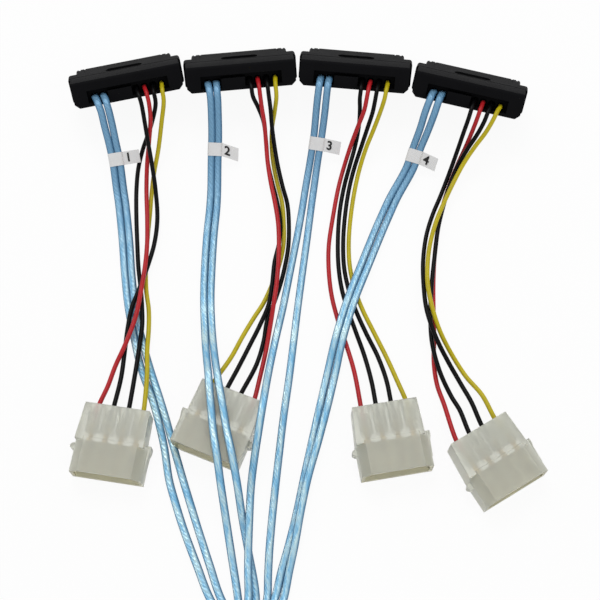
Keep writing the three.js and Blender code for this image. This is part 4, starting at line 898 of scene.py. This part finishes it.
def housing_form():
    """Front half: ears, tongue, slot with its key, guide pockets and the oblong recess on top."""
    ears = prism(rounded(-HOUSING_HALF, HOUSING_HALF, 0, DRIVE_HEIGHT, 1), "y", SPLIT, -TONGUE_REACH)
    tongue_outline = rounded(-TONGUE_HALF, TONGUE_HALF, TONGUE_FOOT, DRIVE_HEIGHT, 1)
    form = fuse(ears, prism(tongue_outline, "y", -TONGUE_REACH - 1, 0))
    left = block(-SLOT_HALF, KEY_PLACE - KEY_HALF, -SLOT_DEPTH, 1, SLOT_FLOOR, SLOT_ROOF)
    right = block(KEY_PLACE + KEY_HALF, SLOT_HALF, -SLOT_DEPTH, 1, SLOT_FLOOR, SLOT_ROOF)
    behind = block(-SLOT_HALF, SLOT_HALF, -SLOT_DEPTH, -5.4, SLOT_FLOOR, SLOT_ROOF)
    oblong = prism(rounded(-6.8, 6.8, -11, -7, 1.9, 6), "z", DRIVE_HEIGHT - 0.8, DRIVE_HEIGHT + 1)
    form = carve(form, left, right, behind, oblong)
    for side in (-1, 1):
        x = side * GUIDE_PLACE
        guide = block(x - 0.8, x + 0.8, -TONGUE_REACH - 3, -TONGUE_REACH + 1, 2.2, 7.2)
        x = side * NICK_PLACE
        nick = block(x - 0.4, x + 0.4, -1.2, 1, DRIVE_HEIGHT - 0.35, DRIVE_HEIGHT + 1)
        x = side * STEP_PLACE
        step = block(x - 0.25, x + 0.25, -5.6, 1, DRIVE_HEIGHT - 0.2, DRIVE_HEIGHT + 1)
        form = carve(form, guide, nick, step)
    return soften(form, 0.28)


def cover_form():
    """Rear half: rounded ridge, recess with a cell for each cord, and a grip pocket on each side."""
    rear = -DRIVE_DEPTH
    front = SPLIT - 0.3
    ridge = [(front, 0), (front, DRIVE_HEIGHT)]
    for i in range(7):
        angle = math.radians(90 + 15 * i)
        ridge.append((rear + 1 + math.cos(angle), DRIVE_HEIGHT - 1 + math.sin(angle)))
    ridge.append((rear, 0))
    form = prism(ridge, "x", -COVER_HALF, COVER_HALF)
    recess = block(-RECESS_HALF, RECESS_HALF, rear - 1, RECESS_FLOOR, RECESS_LIP, RECESS_TOP)
    post = block(*RECESS_POST, rear - 2, RECESS_FLOOR + 1, RECESS_LIP - 1, RECESS_POST_TOP)
    form = carve(form, carve(recess, post))
    for side in (-1, 1):
        edge = side * COVER_HALF
        out = edge + side
        corner = [(edge - side * COVER_CHAMFER, -0.01), (out, COVER_CHAMFER + 1), (out, -0.01)]
        form = carve(form, prism(corner, "y", rear - 1, front + 1))
        grip = block(edge - 0.8, edge + 0.8, front - 4.5, front - 1.5, 2, 6)
        form = carve(form, grip)
    for kind, x in CABLE_EXITS.items():
        wide = 1.35 if kind.startswith("signal") else 1.15
        outline = rounded(x - wide, x + wide, EXIT_LEVEL - 1.15, EXIT_LEVEL + 1.15, 0.8)
        cell = prism(outline, "y", RECESS_FLOOR - 0.5, RECESS_FLOOR + 1.4)
        form = carve(form, cell)
    return soften(form, 0.26)


def contact_form():
    """One spring contact on the slot's floor, drawn from the side: a foot, a bow and a turned-up tip."""
    outline = [(-7.7, 3.5), (-6.5, 3.5), (-4.6, 3.78), (-3.2, 3.72), (-2.3, 3.5), (-2.3, 3.62)]
    outline += [(-3.2, 3.92), (-4.6, 4.0), (-6.5, 3.8), (-7.7, 3.8)]
    return prism(outline, "x", -CONTACT_HALF, CONTACT_HALF)


def contact_forms():
    """Seven signal and fifteen power contacts, the power ones two places further on."""
    forms = []
    for start, count in CONTACT_RUNS:
        row = row_of(contact_form(), count, (CONTACT_PITCH, 0, 0), GOLD)
        row.data.transform(Matrix.Translation((FIRST_CONTACT + start * CONTACT_PITCH, 0, 0)))
        forms.append(row)
    return forms


def joined(name, forms):
    """Several forms as one, without a boolean."""
    bm = bmesh.new()
    for form in forms:
        bm.from_mesh(form.data)
        bpy.data.objects.remove(form)
    return object_from(name, bm)


housing = housing_form()
cover = cover_form()
contacts = joined("contacts", contact_forms())
for port in DRIVES:
    matrix = drive_matrix(port)
    front = piece_from(housing, f"drive_housing_{port}", matrix, BLACK)
    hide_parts(f"port_{port}_housing")
    rear = piece_from(cover, f"drive_cover_{port}", matrix, BLACK)
    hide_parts(f"port_{port}_cover")
    inner = piece_from(contacts, f"drive_contacts_{port}", matrix, GOLD)
    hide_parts(f"port_{port}_contacts")
discard(housing, cover, contacts)


# Power plug, in its own millimetre frame: wires enter at y 0, mouth at -PLUG_LENGTH.
PLUG_MIDDLE = -11.6
PLUG_FLOOR = -12.6
PLUG_SIDE = 12
PINS = 4
SHROUD_CHAMFER = 3
SHROUD_WALL = 1.3
MOUTH_MARGIN = 1.1
CELL_HALF = 2.05
CELL_LEVELS = (1.6, 8.6)
CELL_FLOOR = -9.4


def chamfered(wall):
    """Outline of the shroud's section, moved in by wall: a rectangle with two chamfered upper corners."""
    half = PLUG_SIDE - wall
    flat_half = PLUG_SIDE - SHROUD_CHAMFER - wall / 2
    top = PLUG_HEIGHT - wall
    shoulder = PLUG_HEIGHT - SHROUD_CHAMFER - wall / 2
    lower = [(-half, wall), (half, wall)]
    return lower + [(half, shoulder), (flat_half, top), (-flat_half, top), (-half, shoulder)]


def pin_places():
    return [(i - (PINS - 1) / 2) * PIN_PITCH for i in range(PINS)]


def plug_form():
    """Nylon moulding: rear block with a cell for each wire, chamfered open shroud, wing and knob."""
    plan = [(-PLUG_SIDE, PLUG_MIDDLE - 1), (10.9, PLUG_MIDDLE - 1), (10.9, PLUG_MIDDLE)]
    plan += [(10.6, 0), (-11.1, 0), (-PLUG_SIDE, PLUG_MIDDLE)]
    rear = prism(plan, "z", 0.3, 10.1)
    shroud = prism(chamfered(0), "y", -PLUG_LENGTH, PLUG_MIDDLE)
    wing = [(-2, 0.6), (1, 0.6), (1, -1.2), (0.6, -2.4), (0.3, -8), (-0.5, -9)]
    knob = [(-1, -4.4), (1, -3.9), (1.6, -3.3), (1.6, -2.6), (1, -1.9), (-1, -1.4)]
    wing_part = prism([(PLUG_SIDE + a, PLUG_MIDDLE + b) for a, b in wing], "z", 2.4, 7)
    knob_part = prism([(-PLUG_SIDE - a, PLUG_MIDDLE + b) for a, b in knob], "z", 3, 7)
    form = fuse(rear, shroud, wing_part, knob_part)
    form = carve(form, prism(chamfered(SHROUD_WALL), "y", -PLUG_LENGTH - 1, PLUG_FLOOR))
    for x in pin_places():
        cell = rounded(x - CELL_HALF, x + CELL_HALF, *CELL_LEVELS, 0.8)
        form = carve(form, prism(cell, "y", CELL_FLOOR, 1))
    return soften(form, 0.3)


def terminal_forms():
    """Brass terminal in a cell: a crimp barrel on the wire, a neck and the hollow round pin."""
    forms = []
    for x in pin_places():
        forms.append(rod(x, PLUG_AXIS, 1.25, -8.6, -5.6))
        forms.append(rod(x, PLUG_AXIS, 0.8, PLUG_FLOOR + 1, -8.4))
        pin = carve(rod(x, PLUG_AXIS, 1.05, -21.8, PLUG_FLOOR + 1.2), rod(x, PLUG_AXIS, 0.7, -22, -17))
        forms.append(soften(pin, 0.15))
    return forms


def inside_mouth(centre):
    """Whether a face of the plug, by its centre, belongs to the cavity behind its mouth, which is given
    painted shade.
    """
    low, high = MOUTH_MARGIN, PLUG_HEIGHT - MOUTH_MARGIN
    within = abs(centre.x) < PLUG_SIDE - MOUTH_MARGIN and low < centre.z < high
    under_chamfer = abs(centre.x) + centre.z < PLUG_SIDE + PLUG_HEIGHT - SHROUD_CHAMFER - 1
    return centre.y < PLUG_FLOOR + 0.1 and within and under_chamfer


plug = plug_form()
# The cavity faces behind the mouth are given the painted shade.
painted_shade_faces = [int(inside_mouth(face.center)) for face in plug.data.polygons]
terminals = joined("terminals", terminal_forms())
for port in POWER_PLUGS:
    matrix = plug_matrix(port)
    body = piece_from(plug, f"plug_body_{port}", matrix, NYLON)
    body.data.materials.append(NYLON_PAINTED_SHADE)
    body.data.polygons.foreach_set("material_index", painted_shade_faces)
    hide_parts(f"power_plug_{port}")
    piece_from(terminals, f"plug_terminals_{port}", matrix, GOLD)
discard(plug, terminals)


# Labels: a band round each pair of signal cables, its ends glued into a flag that carries a number.
LABEL_LENGTH = 4.8
LABEL_FLAG = 6.1
LABEL_PLACE = 0.125
FLAG_TURNS = {1: 0, 2: -16, 3: -4, 4: -8}
SHEET = 0.11
BAND_ROUNDING = 0.95
FLAG_DROOP = 0.012
NUMBER_SIZE = 4.4
NUMBER_PLACE = 2.0
NUMBER_RISE = 0.1


def spot_on(points, fraction):
    """Point and direction at a fraction of a route's length."""
    line = spline(points, 0.5)
    aim = fraction * length_of(line) / MM
    run = 0.0
    for a, b in zip(line, line[1:]):
        step = (b - a).length
        if run + step >= aim:
            return a.lerp(b, (aim - run) / step), (b - a).normalized()
        run += step
    return line[-1], (line[-1] - line[-2]).normalized()


def band_outline(half, rise, offset):
    """Half of the band's section, from the flag's end over the cables, moved out by offset."""
    end = half + LABEL_FLAG
    points = [(end, offset), (half + 2.2, offset), (half + 0.9, offset + 0.1)]
    bend = BAND_ROUNDING + offset
    for i in range(7):
        angle = math.radians(15 + 12.5 * i)
        x = half - 0.9 + bend * math.cos(angle)
        points.append((x, rise - BAND_ROUNDING + bend * math.sin(angle)))
    for i in range(9):
        angle = math.radians(90 + 11.25 * i)
        x = -half + BAND_ROUNDING + bend * math.cos(angle)
        points.append((x, (rise + offset) * math.sin(angle)))
    return points


def label_form(half, rise, turn):
    """A band round a pair of cables, its flag turned and drooping."""
    upper = band_outline(half, rise, SHEET)
    outer = upper + [(x, -z) for x, z in reversed(upper[:-1])]
    form = prism(outer, "y", -LABEL_LENGTH / 2, LABEL_LENGTH / 2)
    flat_half = half - 0.75
    hollow = []
    for centre, start in ((flat_half, -90), (-flat_half, 90)):
        for i in range(13):
            angle = math.radians(start + 15 * i)
            x = centre + (half - 0.05 - flat_half) * math.cos(angle)
            hollow.append((x, (rise - 0.05) * math.sin(angle)))
    form = carve(form, prism(hollow, "y", -LABEL_LENGTH, LABEL_LENGTH))
    slope = math.tan(math.radians(turn))
    for vert in form.data.vertices:
        past = max(0.0, vert.co.x - half)
        vert.co.y += slope * past
        vert.co.z -= FLAG_DROOP * past * past
    return form


def number_form(text, half, turn):
    """A number printed on the flag, as a thin raised mesh."""
    curve = bpy.data.curves.new("number", "FONT")
    curve.body = text
    curve.size = NUMBER_SIZE
    curve.align_x = "CENTER"
    curve.align_y = "CENTER"
    curve.extrude = 0.02
    curve.offset = 0.12
    form = object_of("number", curve)
    bpy.context.view_layer.update()
    graph = bpy.context.evaluated_depsgraph_get()
    mesh = bpy.data.meshes.new_from_object(form.evaluated_get(graph), depsgraph=graph)
    bpy.data.objects.remove(form)
    result = object_of("number", mesh)
    slope = math.tan(math.radians(turn))
    for vert in mesh.vertices:
        vert.co.x += half + NUMBER_PLACE
        past = vert.co.x - half
        vert.co.y += slope * past
        vert.co.z += SHEET + NUMBER_RISE - FLAG_DROOP * past * past
    return result


for port in DRIVES:
    first, first_way = spot_on(ROUTES[f"signal_{port}_a"], LABEL_PLACE)
    second, second_way = spot_on(ROUTES[f"signal_{port}_b"], LABEL_PLACE)
    along = -(first_way + second_way).normalized()
    side = second - first
    above = side.cross(along).normalized()
    across = along.cross(above)
    half = (side.length + SIGNAL_WIDTH) / 2 + 0.2
    rise = SIGNAL_THICK / 2 + 0.2
    middle = (first + second) / 2
    frame_of = Matrix((across, along, above)).transposed().to_4x4()
    matrix = Matrix.Scale(MM, 4) @ Matrix.Translation(middle) @ frame_of
    form = label_form(half, rise, FLAG_TURNS[port])
    band = piece_from(form, f"label_{port}", matrix, PAPER)
    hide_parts(f"port_{port}_label")
    digit = number_form(str(port), half, FLAG_TURNS[port])
    print_piece = piece_from(digit, f"label_number_{port}", matrix, INK)
    discard(form, digit)


# Ties round the hank.
HANK_HALF = 19.4
HANK_TOP = 7.5
TIE_PLACES = (28, 80)
TIE_HALF = 1.5
TIE_WALL = 0.8
TIE_PLAY = 0.3
TEETH = 8
TOOTH_PITCH = 0.9


def tie_form():
    """A toothed nylon strap with its locking head and a short cut tail."""
    half = HANK_HALF + TIE_PLAY
    top = HANK_TOP + TIE_PLAY
    outer = rounded(-half - TIE_WALL, half + TIE_WALL, 0, top + TIE_WALL, 1.6, 5)
    inner = rounded(-half, half, TIE_WALL, top, 0.8, 4)
    strap = carve(prism(outer, "y", -TIE_HALF, TIE_HALF), prism(inner, "y", -3, 3))
    head = prism(rounded(-3, 3, -2.1, 2.1, 0.6, 3), "z", top + 0.4, top + 2.8)
    window = block(-1.1, 1.1, -1.1, 1.1, top + 1.6, top + 4)
    form = carve(fuse(strap, head), window)
    pawl = block(-0.9, 0.5, -0.8, 0.8, top + 1.2, top + 2.0)
    tail = block(-8.5, -2.5, -1.3, 1.3, top + 1.0, top + 1.6)
    form = fuse(form, pawl, tail)
    return soften(form, 0.18)


def tie_teeth():
    """Ratchet teeth on the strap beside its head."""
    tooth = prism([(-16.5, 8.55), (-16.1, 8.85), (-15.9, 8.55)], "y", -0.9, 0.9)
    return row_of(tooth, TEETH, (TOOTH_PITCH, 0, 0), TIE)


tie = tie_form()
teeth = tie_teeth()
tie = joined("tie", [tie, teeth])
for i, place in enumerate(TIE_PLACES):
    matrix = Matrix.Scale(MM, 4) @ Matrix.Translation((-2 * HANK_FOLD, place, 0))
    strap = piece_from(tie, f"tie_{i + 1}", matrix, TIE)
    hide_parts(f"hank_tie_{i + 1}")
discard(tie)


# Mini plug at the origin, its mouth towards -y.
FRONT = -11.3
SHELL_BACK = -11.6
SHELL_MOUTH = -24.6
WINDOW_PLACE = 5.6
LATCH_HALF = 4.5
GRIPS = 6
GRIP_PITCH = 1.1
PADS = 18
PAD_PITCH = 0.8
FIRST_PAD = -6.8
PAD_LEVELS = (3.96, 5.04)


def plug_body_form():
    """Moulded body with a neck, a seam, a bed for the latch and a mouth for each cable."""
    body = prism(rounded(-11.2, 11.2, 0, 9, 1.2, 5), "y", FRONT, 3)
    neck = prism(rounded(-7.5, 7.5, 0, 8.4, 1.2, 5), "y", 2, BODY_REAR)
    form = fuse(body, neck)
    bed = block(-5, 5, FRONT - 1, 1.5, 8.55, 10)
    seam = carve(block(-12, 12, -4.05, -3.85, -1, 10), block(-11.0, 11.0, -5, -3, 0.2, 8.8))
    form = carve(form, bed, seam)
    for column in (-HANK_COLUMN, HANK_COLUMN):
        for level in HANK_LAYERS.values():
            mouth = rounded(column - 1.18, column + 1.18, level - 0.79, level + 0.79, 0.6)
            form = carve(form, prism(mouth, "y", BODY_REAR - 1.2, BODY_REAR + 1))
    return soften(form, 0.22)


def grip_form():
    """One rib of the finger grips on the body's sides."""
    return prism(rounded(-0.25, 0.25, 1.8, 7.2, 0.2, 2), "y", -0.32, 0.32)


def shell_form():
    """Stamped shell, open in front, with a window for each catch and a seam below."""
    shell = prism(rounded(-9.1, 9.1, 1.4, 7.6, 0.8, 4), "y", SHELL_MOUTH, SHELL_BACK)
    shell = carve(shell, prism(rounded(-8.5, 8.5, 2.0, 7.0, 0.4, 3), "y", SHELL_MOUTH - 1, SHELL_BACK - 0.6))
    for x in (-WINDOW_PLACE, WINDOW_PLACE):
        shell = carve(shell, block(x - 1.1, x + 1.1, -18.5, -16.3, 6.5, 8))
        shell = carve(shell, block(x - 1.1, x + 1.1, -18.5, -16.3, 1, 2.4))
    seam = block(-0.08, 0.08, SHELL_MOUTH - 1, SHELL_BACK - 0.8, 1, 1.8)
    return soften(carve(shell, seam), 0.12)


def card_form():
    """Contact board with its notch."""
    card = block(-7.8, 7.8, -23.3, -12.5, 4.0, 5.0)
    notch = block(1.2, 2.2, -24, -20.5, 3, 6)
    return soften(carve(card, notch), 0.12)


def latch_form():
    """Bent spring leaf with hooked tip, crest and press tab, and a window over the shell."""
    under = [(-19.3, 7.9), (-13.7, 7.9), (-11.9, 9.3), (-4, 10.1), (2, 11.1), (7, 11.1)]
    over = [(7, 11.7), (2, 11.7), (-4, 10.7), (-11.9, 9.9), (-13.7, 8.5), (-16.1, 8.5)]
    over += [(-17.7, 9.4), (-19.3, 8.5)]
    leaf = prism(under + over, "x", -LATCH_HALF, LATCH_HALF)
    leaf = carve(leaf, block(-1.6, 1.6, -15.6, -13.9, 6, 10))
    slots = [block(x - 0.5, x + 0.5, -9, -5.5, 8, 12) for x in (-2.6, 2.6)]
    leaf = carve(leaf, *slots)
    for i in range(4):
        leaf = carve(leaf, block(-3.4, 3.4, 2.6 + i, 3.1 + i, 11.5, 13))
    return soften(leaf, 0.12)


at_origin = Matrix.Scale(MM, 4)
mini_body = plug_body_form()
grips = []
for side in (-1, 1):
    row = row_of(grip_form(), GRIPS, (0, GRIP_PITCH, 0), BLACK)
    row.data.transform(Matrix.Translation((side * 11.0, -3.0, 0)))
    grips.append(row)
mini_body = joined("mini body", [mini_body, *grips])
mini_shell = shell_form()
mini_card = card_form()
mini_latch = latch_form()
body_piece = piece_from(mini_body, "mini_body", at_origin, BLACK)
shell_piece = piece_from(mini_shell, "mini_shell", at_origin, STEEL)
card_piece = piece_from(mini_card, "mini_card", at_origin, BOARD)
latch_piece = piece_from(mini_latch, "mini_latch", at_origin, STEEL)
pads = []
for level in PAD_LEVELS:
    pad = block(-0.25, 0.25, -23.0, -20.2, level - 0.03, level + 0.03)
    pad = row_of(pad, PADS, (PAD_PITCH, 0, 0), GOLD)
    pad.data.transform(Matrix.Translation((FIRST_PAD, 0, 0)))
    pads.append(pad)
pads = joined("pads", pads)
pads_piece = piece_from(pads, "mini_card_pads", at_origin, GOLD)
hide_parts("mini_plug_body")
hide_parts("mini_plug_shell")
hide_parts("mini_plug_card")
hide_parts("mini_plug_latch")
discard(mini_body, mini_shell, mini_card, mini_latch, pads)

# The CAD solids of the signal cables and of the hank are hidden.
for name, (piece, line) in signals.items():
    port = int(name.split("_")[1])
    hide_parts(*([name, "hank"] if name == "signal_1_a" else [name]))


# Table, backdrop, light.
def stage_material():
    """White table that keeps a soft shadow and shows as white to the camera and in reflections."""
    material, tree, shader = blank("white table")
    shader.inputs["Base Color"].default_value = (0.95, 0.95, 0.95, 1)
    shader.inputs["Roughness"].default_value = 0.9
    glow = tree.nodes.new("ShaderNodeEmission")
    rays = tree.nodes.new("ShaderNodeLightPath")
    seen = maths(tree, "MAXIMUM", rays.outputs["Is Camera Ray"], rays.outputs["Is Glossy Ray"])
    clear = maths(tree, "MAXIMUM", seen, rays.outputs["Is Transmission Ray"])
    mix = tree.nodes.new("ShaderNodeMixShader")
    link = tree.links.new
    link(maths(tree, "MULTIPLY", clear, 0.93), mix.inputs["Fac"])
    link(shader.outputs[0], mix.inputs[1])
    link(glow.outputs[0], mix.inputs[2])
    link(mix.outputs[0], tree.nodes["Material Output"].inputs["Surface"])
    return material


TABLE_HALF = 3000
TABLE_TOP = -0.02


def make_table():
    form = block(-TABLE_HALF, TABLE_HALF, -TABLE_HALF, TABLE_HALF, -5, TABLE_TOP)
    mesh = form.data
    mesh.transform(Matrix.Scale(MM, 4))
    mesh.materials.append(stage_material())
    form.name = "table"


def make_world():
    """Soft white light all round, and plain white for what the camera sees past the table."""
    world = bpy.data.worlds.new("studio")
    world.use_nodes = True
    tree = world.node_tree
    soft = tree.nodes["Background"]
    soft.inputs["Color"].default_value = (1, 1, 1, 1)
    soft.inputs["Strength"].default_value = 0.6
    white = tree.nodes.new("ShaderNodeBackground")
    white.inputs["Color"].default_value = (1, 1, 1, 1)
    rays = tree.nodes.new("ShaderNodeLightPath")
    mix = tree.nodes.new("ShaderNodeMixShader")
    tree.links.new(rays.outputs["Is Camera Ray"], mix.inputs["Fac"])
    tree.links.new(soft.outputs[0], mix.inputs[1])
    tree.links.new(white.outputs[0], mix.inputs[2])
    tree.links.new(mix.outputs[0], tree.nodes["World Output"].inputs["Surface"])
    bpy.context.scene.world = world


def make_lamp(name, place, aim, size, power):
    """A square soft lamp that faces its aim."""
    data = bpy.data.lights.new(name, "AREA")
    data.shape = "SQUARE"
    data.size = size
    data.energy = power
    lamp = object_of(name, data)
    lamp.location = place
    lamp.rotation_euler = (Vector(aim) - Vector(place)).to_track_quat("-Z", "Y").to_euler()


make_table()
make_world()
make_lamp("key", (-0.15, 0.75, 0.85), TARGET, 0.5, 2.6)
make_lamp("fill", (0.6, -0.3, 0.7), TARGET, 0.6, 1.0)

bpy.context.scene.view_settings.view_transform = "Standard"
